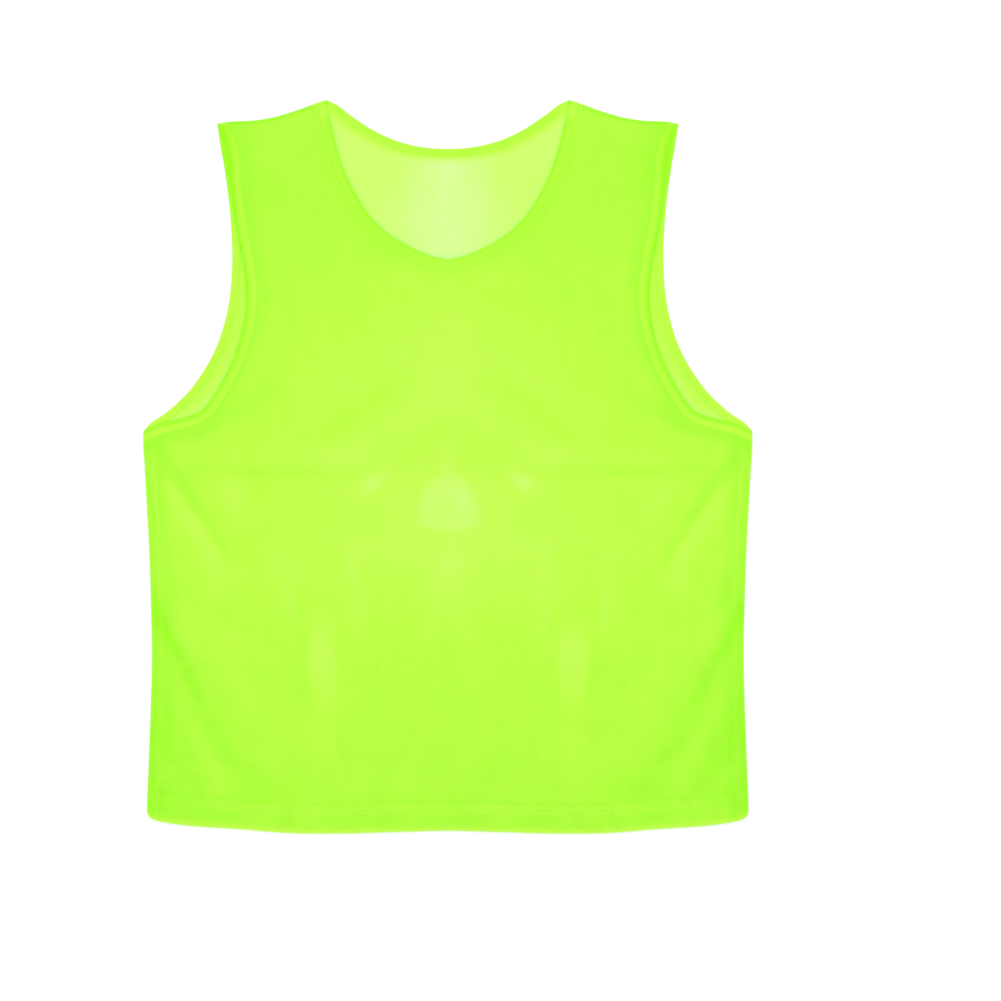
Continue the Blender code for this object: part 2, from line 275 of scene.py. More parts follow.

# Painted highlights and painted shade on the front, for its folds and lifts: along
# its middle, and at its sides, given for the left half
MIDDLE_PATCHES = [
    Patch("upper shade", (0, 600), (300, 150), -0.09),
    Patch("chest glow", (0, 412), (155, 78), 0.12),
    Patch("middle of the chest", (0, 430), (36, 85), 0.07),
    Patch("waist glow", (0, 262), (190, 75), 0.16),
    Patch("skirt shade", (0, 40), (260, 45), -0.05),
    Patch("breast", (1, 276), (30, 43), 0.19, 7.0, 7.5),
    Patch("round the breast", (0, 290), (66, 42), 0.05),
    Patch("breast tip", (0, 322), (7, 18), 0.10),
    Patch("under the breast", (0, 265), (36, 8), 0.06),
    Patch("beside the breast tip", (15, 328), (8, 11), -0.07),
    Patch("band of light", (0, 250), (115, 13), 0.06),
    Patch("spot under the breast", (-1, 235), (17, 12), 0.12, 2.0, 15.0),
    Patch("below the spot", (-2, 212), (20, 18), 0.06),
    Patch("between the middle streaks", (0, 168), (7, 30), -0.04),
]
SIDE_PATCHES = [
    Patch("corner shade", (-258, 72), (56, 76), -0.18),
    Patch("flank shade", (-238, 212), (15, 22), -0.08),
    Patch("side shade by the chest", (-260, 278), (12, 34), -0.06),
    Patch("shoulder shade", (-165, 585), (45, 70), -0.02),
    Patch("shade by the shoulder's end", (-184, 605), (18, 50), -0.06),
    Patch("shade by the side", (-256, 140), (10, 70), -0.05),
    Patch("bright end of the chest ridge", (-90, 334), (19, 7), 0.12),
    Patch("streak", (-111, 152), (15, 37), 0.13, 5.0),
    Patch("bright middle of the streak", (-112, 157), (11, 21), 0.09, 3.0),
    Patch("foot of the streak", (-104, 128), (10, 14), 0.04),
    Patch("under the neck", (-46, 491), (20, 9), 0.05),
    Patch("shade in the corner", (-258, 29), (9, 7), -0.07),
    Patch("corner of the hem", (-238, 14), (26, 8), 0.07),
    Patch("shade over the streak", (-111, 247), (14, 10), -0.06),
    Patch("low streak", (-110, 85), (14, 30), 0.06, 4.0),
    Patch("waist spot", (-191, 174), (7, 8), 0.07),
    Patch("wedge over the hem", (-162, 42), (28, 14), -0.08),
]

# Finer creases of the left half of the front; the right half has them too, uneven
CREASES = [
    Crease("chest trough", ((-226, 321), (-184, 319), (-140, 318), (-100, 319)), (4, 3), -0.08),
    Crease("chest ridge", ((-184, 331), (-131, 331), (-100, 333), (-82, 340), (-69, 350),
                           (-47, 364), (-20, 379), (0, 397)), (8, 16), 0.06),
    Crease("upper trough", ((-104, 355), (-86, 368), (-55, 393), (-42, 403)), (9, 9), -0.06),
    Crease("upper ridge", ((-126, 362), (-100, 384), (-69, 406), (-42, 424)), (12, 12), 0.04),
    Crease("chevron trough", ((0, 366), (-20, 344), (-33, 331), (-38, 322)), (9, 7), -0.04),
    Crease("comma", ((-76, 306), (-65, 311), (-56, 318)), (9, 7), 0.27),
    Crease("inside the comma", ((-50, 296), (-42, 303), (-32, 308)), (8, 8), 0.05),
    Crease("breast lobe", ((-11, 308), (-15, 299), (-18, 286)), (7, 8), 0.10),
    Crease("flank patch", ((-200, 311), (-188, 297), (-179, 280)), (9, 9), 0.13),
    Crease("underarm fold", ((-264, 347), (-250, 329), (-233, 306), (-215, 278), (-200, 255),
                             (-193, 242)), (9, 4), -0.17),
    Crease("flank ridge", ((-248, 311), (-235, 288), (-221, 269), (-209, 246), (-203, 218)),
           (6, 10), 0.16),
    Crease("side shade", ((-264, 232), (-261, 200), (-257, 172)), (10, 7), -0.11),
    Crease("waist fold", ((-258, 202), (-250, 180), (-238, 158), (-226, 134), (-219, 121)),
           (5, 6), -0.27),
    Crease("skirt fold", ((-221, 121), (-211, 100), (-203, 82), (-192, 68), (-178, 55),
                          (-170, 42)), (6, 10), -0.12),
    Crease("ridge over the waist fold", ((-206, 176), (-190, 146), (-176, 108)), (8, 12), 0.05),
    Crease("corner ridge", ((-246, 127), (-233, 105), (-219, 78), (-206, 51), (-200, 38)),
           (7, 8), 0.10),
    Crease("corner trough", ((-256, 84), (-242, 69), (-233, 55), (-223, 42)), (6, 6), -0.07),
    Crease("outer corner ridge", ((-262, 74), (-254, 62), (-243, 46)), (7, 7), 0.10),
    Crease("side ridge", ((-237, 242), (-231, 190), (-222, 162)), (6, 6), 0.06),
    Crease("line by the streak", ((-129, 171), (-127, 115)), (4, 4), -0.06),
    Crease("line by the low streak", ((-95, 95), (-92, 60)), (4, 4), -0.05),
    Crease("high streak", ((-144, 246), (-142, 215), (-140, 180)), (6, 6), 0.10),
    Crease("line by the high streak", ((-132, 207), (-131, 175)), (4, 4), -0.05),
    Crease("inner streak", ((-86, 260), (-84, 215), (-80, 170)), (7, 7), 0.10),
    Crease("middle streak", ((-13, 215), (-13, 171)), (6, 6), 0.08),
    Crease("fold under the armhole", ((-255, 352), (-219, 355), (-197, 368), (-184, 375),
                                      (-164, 388), (-157, 400)), (7, 8), -0.10),
    Crease("line down the chest", ((-140, 475), (-138, 430), (-150, 400)), (6, 5), -0.04),
]

# How high a crease rises for each unit of tone
CREASE_RISE = 2.2

# How far the right half's creases may lie aside and higher, how strong they are, and
# the steps by which the three run through a circle from crease to crease
UNEVEN_ASIDE = 1.6
UNEVEN_LIFT = 1.4
UNEVEN_STRENGTH = (0.95, 0.07)
UNEVEN_STEPS = (1.7, 2.3, 2.9)

# How the trains of waves wander
WANDER = 0.9
WANDER_LENGTH = 1.7
WANDER_SHIFT = 2.1

# How the tone changes across each binding, by the share of its width from the edge;
# its deep edges and lines are painted shade at the rolled edge and along the stitches
NECK_TONES = ((0.0, -0.06), (0.14, -0.04), (0.30, 0.13), (0.58, 0.14), (0.70, 0.0), (0.82, 0.24),
              (0.92, 0.22), (1.0, -0.08))
ARMHOLE_TONES = ((0.0, -0.16), (0.16, -0.08), (0.34, 0.17), (0.56, 0.24), (0.72, 0.18),
                 (0.86, 0.0), (1.0, 0.04))
BACK_NECK_TONES = ((0.0, 0.16), (0.5, 0.18), (0.80, 0.26), (1.0, 0.46))
BACK_ARMHOLE_TONES = ((0.0, 0.30), (0.4, 0.24), (0.80, 0.27), (1.0, 0.40))
# Painted highlights and shade on the bindings: paler at the neck points, the middle of the neck and
# the underarms, deeper at the shoulder ends and the upper strips
BINDING_PATCHES = [
    Patch("neck point left", (-108, 640), (5, 6), 0.28),
    Patch("neck point right", (108, 640), (5, 6), 0.26),
    Patch("middle of the neck", (0, 503), (50, 22), 0.09),
]
BINDING_SIDE_PATCHES = [
    Patch("shoulder end", (-197, 592), (6, 40), -0.34),
    Patch("upper strip", (-190, 575), (12, 55), -0.07),
    Patch("underarm", (-252, 358), (40, 22), 0.06),
]

# Lines along the edges of a panel. The hem's stitch lines and its lower edge carry
# painted highlights where they catch the light, and the line just over the hem's top
# is painted shade
SEAM_LINES = [
    SeamLine("side edge", "from_side", 3.0, 2.4, -0.03, 0.0),
    SeamLine("side seam", "from_side", 8.6, 2.9, 0.10, -0.3),
    SeamLine("shoulder edge", "from_shoulder", 0.8, 4.5, -0.26, 0.0),
    SeamLine("hem's fold line", "from_hem", 26.2, 2.2, -0.09, -0.4),
    SeamLine("hem's upper stitches", "from_hem", HEM_STITCHES[0], 1.4, 0.09, -0.8),
    SeamLine("hem's lower stitches", "from_hem", HEM_STITCHES[1], 1.4, 0.08, -0.8),
    SeamLine("highlight on the hem's edge", "from_hem", 0.0, 5.0, 0.22, 0.0),
]

# Colour of the cloth by its tone, and the depth of its knit and of its seams
TONE_RANGE = (-0.2, 1.0)
TONE_COLOURS = (
    (-0.2, (0.284, 0.890, 0.005)), (0.0, (0.328, 0.900, 0.021)), (0.20, (0.394, 0.920, 0.038)),
    (0.35, (0.468, 0.940, 0.053)), (0.55, (0.518, 0.950, 0.084)), (0.75, (0.553, 0.960, 0.146)),
    (1.0, (0.625, 0.970, 0.285)),
)
KNIT_RELIEF = 0.00006
SEAM_RELIEF = 0.00025

# How far the knit's rows wander, in metres, and over how many cycles a metre
DRIFT = 0.004
DRIFT_SCALE = 16.0

# The cloth's clouds and streaks: cycles a metre, finer layers, and change of tone
CLOUDS = ((24.0, 3.0, 0.09), (95.0, 2.0, 0.11), (650.0, 1.0, 0.04))
STREAK_STRETCH = (1.0, 0.3, 1.0)

# How pale the back is painted: at a set tone under the front, and painted paler in the
# neck and beside the armholes for light through its mesh, with painted glows there and
# painted shadow under the back neck binding
COVERED_TONE = 0.40
COVER_REACH = (5.0, 12.0)
NECK_SPAN = 130.0
NECK_TONE = 0.70
NECK_GLOW = 0.26
GLOW_WIDTH = 46.0
GLOW_NARROWING = 14.0
GLOW_NARROWS = (540.0, 590.0)
BAND_SHADE = 0.30
BAND_REACH = 2.6
ARM_TONE = 0.36
ARM_GLOW = 0.34
ARM_GLOW_FADES = (370.0, 475.0)
ARM_GLOW_REACH = 8.0

# How pale the front is before its patches, and the painted shade beside its bindings
FRONT_TONE = 0.30
ARM_SHADE = 0.10
ARM_SHADE_REACH = (12.0, 26.0)
NECK_SHADE = 0.08
NECK_SHADE_REACH = (8.0, 17.0)


def smoothstep(low: float, high: float, value: Array) -> Array:
    """Goes smoothly from 0 at low to 1 at high.

    Args:
        low: Value where the step starts.
        high: Value where the step ends.
        value: Values to map.

    Returns:
        The share, from 0 to 1, of each value.
    """
    share = np.clip((np.asarray(value, dtype=float) - low) / (high - low), 0.0, 1.0)
    return share * share * (3.0 - 2.0 * share)


def travelled_along(points: Array) -> Array:
    """Gives the distance run along a polyline at each of its points."""
    runs = np.linalg.norm(np.diff(points, axis=0), axis=1)
    return np.concatenate(([0.0], np.cumsum(runs)))


def smooth_curve(rows: Sequence[tuple[float, float]], spacing: float) -> Array:
    """Draws a Catmull-Rom curve through a table's rows, with even points.

    Args:
        rows: Points that the curve passes through.
        spacing: Distance between the points returned, nearly.

    Returns:
        An array of plan points, both ends among them.
    """
    knots = np.array(rows, dtype=float)
    before = 2.0 * knots[0] - knots[1]
    after = 2.0 * knots[-1] - knots[-2]
    padded = np.vstack((before, knots, after))
    fine = []
    for p0, p1, p2, p3 in zip(padded, padded[1:], padded[2:], padded[3:]):
        for t in np.linspace(0.0, 1.0, FINE_STEPS, endpoint=False):
            bend = (2.0 * p0 - 5.0 * p1 + 4.0 * p2 - p3) * t * t
            twist = (3.0 * p1 - p0 - 3.0 * p2 + p3) * t * t * t
            fine.append(0.5 * (2.0 * p1 + (p2 - p0) * t + bend + twist))
    fine = np.array(fine + [knots[-1]])
    travelled = travelled_along(fine)
    count = max(2, int(round(travelled[-1] / spacing)) + 1)
    stations = np.linspace(0.0, travelled[-1], count)
    return np.column_stack([np.interp(stations, travelled, fine[:, k]) for k in (0, 1)])


def inward_of(curve: Array) -> Array:
    """Gives the direction to the right of a curve at each of its points.

    Args:
        curve: The curve's points.

    Returns:
        A unit vector for each point.
    """
    tangents = np.gradient(curve, axis=0)
    lengths = np.linalg.norm(tangents, axis=1)[:, None]
    return np.column_stack((tangents[:, 1], -tangents[:, 0])) / lengths


def mirrored(points: Array) -> Array:
    """Reflects points in the centre line and runs through them backwards."""
    return np.asarray(points, dtype=float)[::-1] * (-1.0, 1.0)


def both_halves(right: Sequence[Array]) -> list[Array]:
    """Gives the right half's curves and then the left half's."""
    return list(right) + [mirrored(curve) for curve in right]


def nearest_on(points: Array, path: Array) -> tuple[Array, Array]:
    """Finds the place on a polyline that is nearest to each point.

    Args:
        points: Plan points.
        path: The polyline.

    Returns:
        The share of the polyline before that place, and the distance to it.
    """
    travelled = travelled_along(path)
    share = np.zeros(len(points))
    best = np.full(len(points), np.inf)
    for index, (start, end) in enumerate(zip(path, path[1:])):
        run = end - start
        along = np.clip((points - start) @ run / (run @ run), 0.0, 1.0)
        gap = np.linalg.norm(points - start - np.outer(along, run), axis=1)
        reached = (travelled[index] + along * np.linalg.norm(run)) / travelled[-1]
        share = np.where(gap < best, reached, share)
        best = np.minimum(best, gap)
    return share, best


def distance_to(points: Array, lines: Sequence[Array]) -> Array:
    """Finds how far each point is from the nearest of some polylines."""
    return np.min([nearest_on(points, line)[1] for line in lines], axis=0)


def chain_edges(paths: Sequence[Array], first: int = 0) -> list[tuple[int, int]]:
    """Numbers the edges that join the points along each path.

    Args:
        paths: The paths, whose points follow each other in one list.
        first: Number of the first path's first point.

    Returns:
        Pairs of point numbers.
    """
    edges = []
    for line in paths:
        edges += [(first + index, first + index + 1) for index in range(len(line) - 1)]
        first += len(line)
    return edges


def inside_of(points: Array, outline: Array) -> Array:
    """Says which points lie inside a closed outline.

    Args:
        points: Plan points.
        outline: The outline's corners in order.

    Returns:
        True for each point that lies inside.
    """
    odd = np.zeros(len(points), dtype=bool)
    for start, end in zip(outline, np.roll(outline, -1, axis=0)):
        if start[1] == end[1]:
            continue
        spans = (points[:, 1] >= min(start[1], end[1])) & (points[:, 1] < max(start[1], end[1]))
        cross = start[0] + (points[:, 1] - start[1]) * (end[0] - start[0]) / (end[1] - start[1])
        odd ^= spans & (points[:, 0] < cross)
    return odd


def hem_height(across: Array) -> Array:
    """Gives the height of the hem's lower edge at distances across."""
    rows = sorted(HEM)
    return np.interp(np.abs(across), [row.out for row in rows], [row.up for row in rows])


def above_hem(points: Array) -> Array:
    """Gives the distance of plan points over the hem's lower edge."""
    return points[:, 1] - hem_height(points[:, 0])


def ripple_height(points: Array, ripples: Sequence[Ripple]) -> Array:
    """Adds up trains of slight waves.

    Args:
        points: Plan points.
        ripples: The trains of waves.

    Returns:
        The height of the waves at each point.
    """
    total = np.zeros(len(points))
    for number, ripple in enumerate(ripples):
        heading = math.radians(ripple.heading)
        along = points[:, 0] * math.cos(heading) + points[:, 1] * math.sin(heading)
        across = points[:, 1] * math.cos(heading) - points[:, 0] * math.sin(heading)
        bend = across / (WANDER_LENGTH * ripple.length) + WANDER_SHIFT * number
        drift = WANDER * np.sin(bend)
        total += ripple.height * np.sin(math.tau * along / ripple.length + drift + number)
    return total


def fold_height(points: Array, fold: Fold) -> Array:
    """Gives the height that one fold adds, most at the middle of its run.

    Args:
        points: Plan points.
        fold: The fold.

    Returns:
        The height at each point.
    """
    share, gap = nearest_on(points, np.array((fold.start, fold.end), dtype=float))
    swell = 1.0 - FOLD_SWELL + FOLD_SWELL * np.sin(np.pi * share)
    return fold.height * swell * np.exp(-((gap / fold.spread) ** 2))


def patch_tone(points: Array, patches: Sequence[Patch]) -> Array:
    """Adds up patches.

    Args:
        points: Plan points.
        patches: The patches.

    Returns:
        The change of tone at each point.
    """
    total = np.zeros(len(points))
    for patch in patches:
        away = points - np.array(patch.centre)
        downwards = patch.below or patch.reach[1]
        away[:, 1] /= np.where(away[:, 1] < 0.0, downwards, patch.reach[1])
        away[:, 0] /= patch.reach[0]
        total += patch.amount * np.exp(-np.sum(away * away, axis=1) ** (0.5 * patch.crisp))
    return total


def crease_tone(points: Array, crease: Crease) -> Array:
    """Works out the tone of one crease, strongest at the middle of its run.

    Args:
        points: Plan points.
        crease: The crease.

    Returns:
        The change of tone at each point.
    """
    share, gap = nearest_on(points, np.array(crease.path, dtype=float))
    reach = np.interp(share, (0.0, 1.0), crease.reach)
    swell = 1.0 - CREASE_SWELL + CREASE_SWELL * np.sin(np.pi * share)
    return crease.amount * swell * np.exp(-((gap / reach) ** 2))


def other_half(crease: Crease, number: int) -> Crease:
    """Gives the right half its own, slightly different, crease.

    Args:
        crease: The left half's crease.
        number: Its place in the table, which sets how it differs.

    Returns:
        The right half's crease.
    """
    turns = [step * number for step in UNEVEN_STEPS]
    aside = UNEVEN_ASIDE * math.sin(turns[0])
    lift = UNEVEN_LIFT * math.cos(turns[1])
    path = tuple((aside - across, up + lift) for across, up in crease.path)
    strength = UNEVEN_STRENGTH[0] + UNEVEN_STRENGTH[1] * math.sin(turns[2])
    return crease._replace(path=path, amount=crease.amount * strength)


def all_creases() -> list[Crease]:
    """Gives the creases of both halves."""
    return CREASES + [other_half(crease, number) for number, crease in enumerate(CREASES)]


def on_both_sides(patches: Sequence[Patch]) -> list[Patch]:
    """Gives the left half's patches and their mirror images."""
    right = [patch._replace(centre=(-patch.centre[0], patch.centre[1])) for patch in patches]
    return list(patches) + right


@dataclass
class EdgeRun:
    """A bound edge, with the direction and width of its binding at each point."""

    curve: Array
    inward: Array
    widths: Array

    @classmethod
    def drawn(
        cls,
        rows: Sequence[EdgePoint],
        widths: tuple[float, float],
        start_along: Sequence[float],
        end_along: Sequence[float],
        spacing: float,
    ) -> "EdgeRun":
        """Draws a bound edge whose cloth lies to the right of its direction.

        Args:
            rows: The table of the edge.
            widths: The binding's width at the start and at the end.
            start_along: Direction of the seam that the binding starts on.
            end_along: Direction of the seam that it ends on.
            spacing: Distance between the edge's points.

        Returns:
            The edge.
        """
        curve = smooth_curve(rows, spacing)
        travelled = travelled_along(curve)
        at_start = 1.0 - smoothstep(0.0, END_REACH, travelled)
        at_end = 1.0 - smoothstep(0.0, END_REACH, travelled[-1] - travelled)
        mixed = inward_of(curve) * (1.0 - at_start - at_end)[:, None]
        mixed += np.outer(at_start, np.array(start_along) / np.linalg.norm(start_along))
        mixed += np.outer(at_end, np.array(end_along) / np.linalg.norm(end_along))
        mixed /= np.linalg.norm(mixed, axis=1)[:, None]
        return cls(curve, mixed, np.interp(travelled, (0.0, travelled[-1]), widths))

    def row(self, depth: float) -> Array:
        """Gives the points at a fixed depth in from the edge."""
        return self.curve + self.inward * depth

    def inner_row(self, beyond: float = 0.0) -> Array:
        """Gives the points at the binding's own width, or a little beyond."""
        return self.curve + self.inward * (self.widths + beyond)[:, None]

    def other_side(self) -> "EdgeRun":
        """Gives the same edge on the other half of the garment, run backwards."""
        return EdgeRun(mirrored(self.curve), mirrored(self.inward), self.widths[::-1])

    def whole(self) -> "EdgeRun":
        """Joins the left half of a neckline to this right half.

        Returns:
            The whole neckline.
        """
        left = self.other_side()
        halves = ((left.curve, self.curve), (left.inward, self.inward), (left.widths, self.widths))
        return EdgeRun(*(np.concatenate((first, second[1:])) for first, second in halves))


class GarmentCut:
    """The edges of both layers, drawn at a chosen fineness.

    The widths of the bindings are given at the start and at the end of each edge.
    """

    NECK_WIDTHS = {Layer.FRONT: (8.5, 14.0), Layer.BACK: (8.5, 8.5)}
    ARMHOLE_WIDTHS = {Layer.FRONT: (11.5, 12.0), Layer.BACK: (8.5, 8.5)}
    NECK_ROWS = {Layer.FRONT: FRONT_NECK, Layer.BACK: BACK_NECK}
    ARMHOLE_ROWS = {Layer.FRONT: FRONT_ARMHOLE, Layer.BACK: BACK_ARMHOLE}

    def __init__(self, spacing: float) -> None:
        """Draws the necklines and armholes of the right half.

        Args:
            spacing: Distance between the points of the edges.
        """
        shoulder = np.subtract(SHOULDER[2], SHOULDER[0])
        tip = np.subtract(SHOULDER[-2], SHOULDER[-1])
        down = (0.0, -1.0)
        self.spacing = spacing
        self.neck = {
            layer: EdgeRun.drawn(rows, self.NECK_WIDTHS[layer], down, shoulder, spacing)
            for layer, rows in self.NECK_ROWS.items()
        }
        self.armhole = {
            layer: EdgeRun.drawn(rows, self.ARMHOLE_WIDTHS[layer], tip, down, spacing)
            for layer, rows in self.ARMHOLE_ROWS.items()
        }

    def bound(self, layer: Layer) -> list[Array]:
        """Gives a layer's bound edges on both halves."""
        return both_halves([self.neck[layer].curve, self.armhole[layer].curve])

    def seams(self) -> list[Array]:
        """Gives the shoulders, sides and hem on both halves."""
        return both_halves([smooth_curve(rows, self.spacing) for rows in (SHOULDER, SIDE, HEM)])

    def sides(self) -> list[Array]:
        """Gives the side seams on both halves."""
        return both_halves([smooth_curve(SIDE + HEM[:1], self.spacing)])

    def shoulders(self) -> list[Array]:
        """Gives the shoulder seams on both halves."""
        return both_halves([smooth_curve(SHOULDER, self.spacing)])

    def outline(self, layer: Layer, inset: float) -> tuple[Array, list[Array]]:
        """Draws a panel's outline, anticlockwise from the middle of its hem.

        Args:
            layer: Which panel.
            inset: How deep in its bindings the panel's raw edge lies.

        Returns:
            The outline, and guide rows along the inner edge of each binding.
        """
        neck = self.neck[layer]
        armhole = self.armhole[layer]
        neck_guide = neck.inner_row()
        arm_guide = armhole.inner_row()
        shoulder = self._between(SHOULDER, neck_guide[-1], arm_guide[0])
        side = self._between(SIDE + HEM[:1], arm_guide[-1], np.array(HEM[0]))
        hem = smooth_curve(HEM, self.spacing)
        right = np.vstack((
            hem[::-1], side[::-1], arm_guide[-1:], armhole.row(inset)[::-1], arm_guide[:1],
            shoulder[::-1], neck_guide[-1:], neck.row(inset)[::-1],
        ))
        whole = np.vstack((right, mirrored(right)[1:-1]))
        return whole, both_halves([neck_guide, arm_guide])

    def _between(self, rows: Sequence[EdgePoint], first: Array, last: Array) -> Array:
        """Draws a seam edge between two points of the outline.

        Args:
            rows: The table of the seam edge.
            first: Point that the edge follows on from.
            last: Point that the edge leads to.

        Returns:
            The edge's points, clear of both.
        """
        curve = smooth_curve(rows, self.spacing)
        to_first = np.linalg.norm(curve - first, axis=1)
        to_last = np.linalg.norm(curve - last, axis=1)
        kept = np.zeros(len(curve), dtype=bool)
        kept[int(np.argmin(to_first)):int(np.argmin(to_last)) + 1] = True
        clear = (to_first > 0.5 * self.spacing) & (to_last > 0.5 * self.spacing)
        return curve[kept & clear]


def hem_share(points: Array) -> Array:
    """Says how far each plan point is in the turned-up hem, from 0 to 1."""
    top = HEM_DEPTH + 1.0
    return 1.0 - smoothstep(top, top + HEM_STEP, above_hem(points))


def half_thickness(points: Array) -> Array:
    """Gives half of the thickness of a panel at plan points."""
    return SHEET_HALF + HEM_HALF * hem_share(points)


@dataclass
class BackForm:
    """The middle height of the back layer, resting on the floor."""

    cut: GarmentCut
    bound_reach: tuple[float, float] = (9.0, 20.0)
    wave_reach: tuple[float, float] = (9.0, 40.0)
    wave_rest: float = 0.2
    wave_low: float = -0.15

    def lower(self, points: Array) -> Array:
        """Gives the height of the cloth's underside at plan points."""
        return self.mid(points) - half_thickness(points)

    def mid(self, points: Array) -> Array:
        """Gives the height of the cloth's middle.

        Args:
            points: Plan points.

        Returns:
            The height at each point.
        """
        to_bound = distance_to(points, self.cut.bound(Layer.BACK))
        bound = 1.0 - smoothstep(*self.bound_reach, to_bound)
        free = smoothstep(*self.wave_reach, to_bound)
        in_hem = hem_share(points)
        waves = free * (1.0 - in_hem) * (ripple_height(points, BACK_RIPPLES) + self.wave_rest)
        rest = BACK_REST + (BACK_BOUND - BACK_REST) * bound + HEM_HALF * in_hem
        return rest + np.maximum(waves, self.wave_low)


@dataclass
class FrontForm:
    """The middle height of the front layer, lying on the back."""

    cut: GarmentCut
    back: BackForm
    wave_rise: float = 20.0
    over_hem: tuple[float, float] = (10.0, 45.0)

    def lower(self, points: Array) -> Array:
        """Gives the height of the underside, drawn down onto the back along its seams.

        Args:
            points: Plan points.

        Returns:
            The height at each point.
        """
        free = self.mid(points) - half_thickness(points)
        sewn = self.back.mid(points) + half_thickness(points)
        to_seam = distance_to(points, self.cut.sides() + self.cut.shoulders())
        return np.where(to_seam < SEWN_REACH, np.minimum(free, sewn), free)

    def mid(self, points: Array) -> Array:
        """Gives the height of the cloth's middle, with its folds and creases.

        Args:
            points: Plan points.

        Returns:
            The height at each point.
        """
        to_seam = distance_to(points, self.cut.seams())
        both = self.cut.bound(Layer.FRONT) + self.cut.bound(Layer.BACK)
        to_bound = distance_to(points, both)
        off_bindings = smoothstep(MARGIN_REACH, MARGIN_REACH + SEAM_RISE, to_bound)
        at_seam = (1.0 - smoothstep(0.0, SEAM_RISE, to_seam)) * off_bindings
        base = FRONT_BOUND - (FRONT_BOUND - FRONT_SEAM) * at_seam
        to_margin = np.minimum(to_seam, np.maximum(0.0, to_bound - MARGIN_REACH))
        free = smoothstep(0.0, LOFT_RISE, to_margin)
        folds = sum(fold_height(points, fold) for fold in FOLDS)
        fine = CREASE_RISE * sum(crease_tone(points, crease) for crease in all_creases())
        waves = ripple_height(points, FRONT_RIPPLES) + fine
        waves *= smoothstep(0.0, self.wave_rise, to_margin)
        lift = HEM_LIFT * (1.0 - smoothstep(*self.over_hem, points[:, 1]))
        lift += HEM_HALF * hem_share(points)
        rise = free * (LOFT + FOLD_SHARE * folds) + waves
        return np.maximum(FRONT_SEAM, base + rise) + lift + self._pucker(points)

    @staticmethod
    def _pucker(points: Array) -> Array:
        """Gathers the cloth slightly along the hem's stitches.

        Args:
            points: Plan points.

        Returns:
            How much higher the cloth lies at each point.
        """
        near = np.exp(-((above_hem(points) - HEM_DEPTH) / PUCKER_REACH) ** 2)
        across = points[:, 0]
        drift = PUCKER_DRIFT * np.sin(across / PUCKER_DRIFT_LENGTH)
        phase = math.tau * across / PUCKER_LENGTH + drift
        return PUCKER_HEIGHT * near * (PUCKER_REST + np.sin(phase))


class Wiring:
    """Adds nodes to one shader tree and links them."""

    def __init__(self, tree: bpy.types.NodeTree) -> None:
        """Keeps the tree that the calls add to."""
        self.tree = tree

    def node(self, kind: str, inputs: Optional[Inputs] = None, **settings: object) -> Node:
        """Adds a node, sets its properties and feeds its inputs.

        Args:
            kind: The node's type.
            inputs: Values or sockets by the input's name or number.
            settings: Properties by name.

        Returns:
            The node.
        """
        made = self.tree.nodes.new(kind)
        for name, value in settings.items():
            setattr(made, name, value)
        self.fill(made, inputs or {})
        return made

    def fill(self, node: Node, inputs: Inputs) -> None:
        """Feeds several inputs of a node."""
        for name, value in inputs.items():
            self.feed(node.inputs[name], value)

    def feed(self, socket: Socket, value: Value) -> None:
        """Links a socket to another, or sets its value.

        Args:
            socket: The input socket.
            value: The socket that it is linked to, or its value.
        """
        if isinstance(value, bpy.types.NodeSocket):
            self.tree.links.new(value, socket)
        else:
            socket.default_value = value

    def math(self, operation: str, first: Value, second: Value = 0.0) -> Socket:
        """Adds a math node.

        Args:
            operation: Blender's name of the operation.
            first: First operand.
            second: Second operand, where there is one.

        Returns:
            The result's socket.
        """
        made = self.node("ShaderNodeMath", {0: first, 1: second}, operation=operation)
        return made.outputs[0]

    def remap(self, value: Value, low: Value, high: Value, start: float, end: float) -> Socket:
        """Maps a value smoothly from one range to another.

        Args:
            value: Value to map.
            low: Where the input range starts.
            high: Where it ends.
            start: Output at low.
            end: Output at high.

        Returns:
            The mapped value's socket.
        """
        inputs = {"Value": value, "From Min": low, "From Max": high, "To Min": start, "To Max": end}
        made = self.node("ShaderNodeMapRange", inputs, interpolation_type="SMOOTHSTEP")
        return made.outputs["Result"]

    def ramp(self, value: Socket, stops: Sequence[tuple[float, tuple[float, ...]]]) -> Socket:
        """Turns a number into a colour.

        Args:
            value: The number, from 0 to 1.
            stops: Place and colour of each stop.

        Returns:
            The colour's socket.
        """
        made = self.node("ShaderNodeValToRGB")
        for _ in range(len(stops) - 2):
            made.color_ramp.elements.new(0.5)
        for stop, (place, colour) in zip(made.color_ramp.elements, stops):
            stop.position = place
            stop.color = (*colour, 1.0)
        self.feed(made.inputs[0], value)
        return made.outputs["Color"]

    def attribute(self, name: str) -> Socket:
        """Reads a number stored on the mesh."""
        return self.node("ShaderNodeAttribute", attribute_name=name).outputs["Fac"]

    def object_place(self) -> Socket:
        """Reads the place on the object, in metres."""
        return self.node("ShaderNodeTexCoord").outputs["Object"]

    def noise(self, place: Socket, scale: float, detail: float = 2.0, kind: str = "Fac") -> Socket:
        """Adds soft noise.

        Args:
            place: Where the noise is read.
            scale: Cycles a metre.
            detail: How many finer layers are added.
            kind: Fac for one number, Color for three.

        Returns:
            The noise's socket, from 0 to 1.
        """
        made = self.node("ShaderNodeTexNoise", {"Vector": place, "Scale": scale, "Detail": detail})
        return made.outputs[kind]

    def stretched(self, place: Socket, scale: tuple[float, float, float]) -> Socket:
        """Scales the place where a pattern is read."""
        return self.node("ShaderNodeMapping", {"Vector": place, "Scale": scale}).outputs[0]

    def bump(self, height: Socket, strength: float, distance: float) -> Socket:
        """Turns a height into a normal."""
        inputs = {"Height": height, "Strength": strength, "Distance": distance}
        return self.node("ShaderNodeBump", inputs).outputs[0]


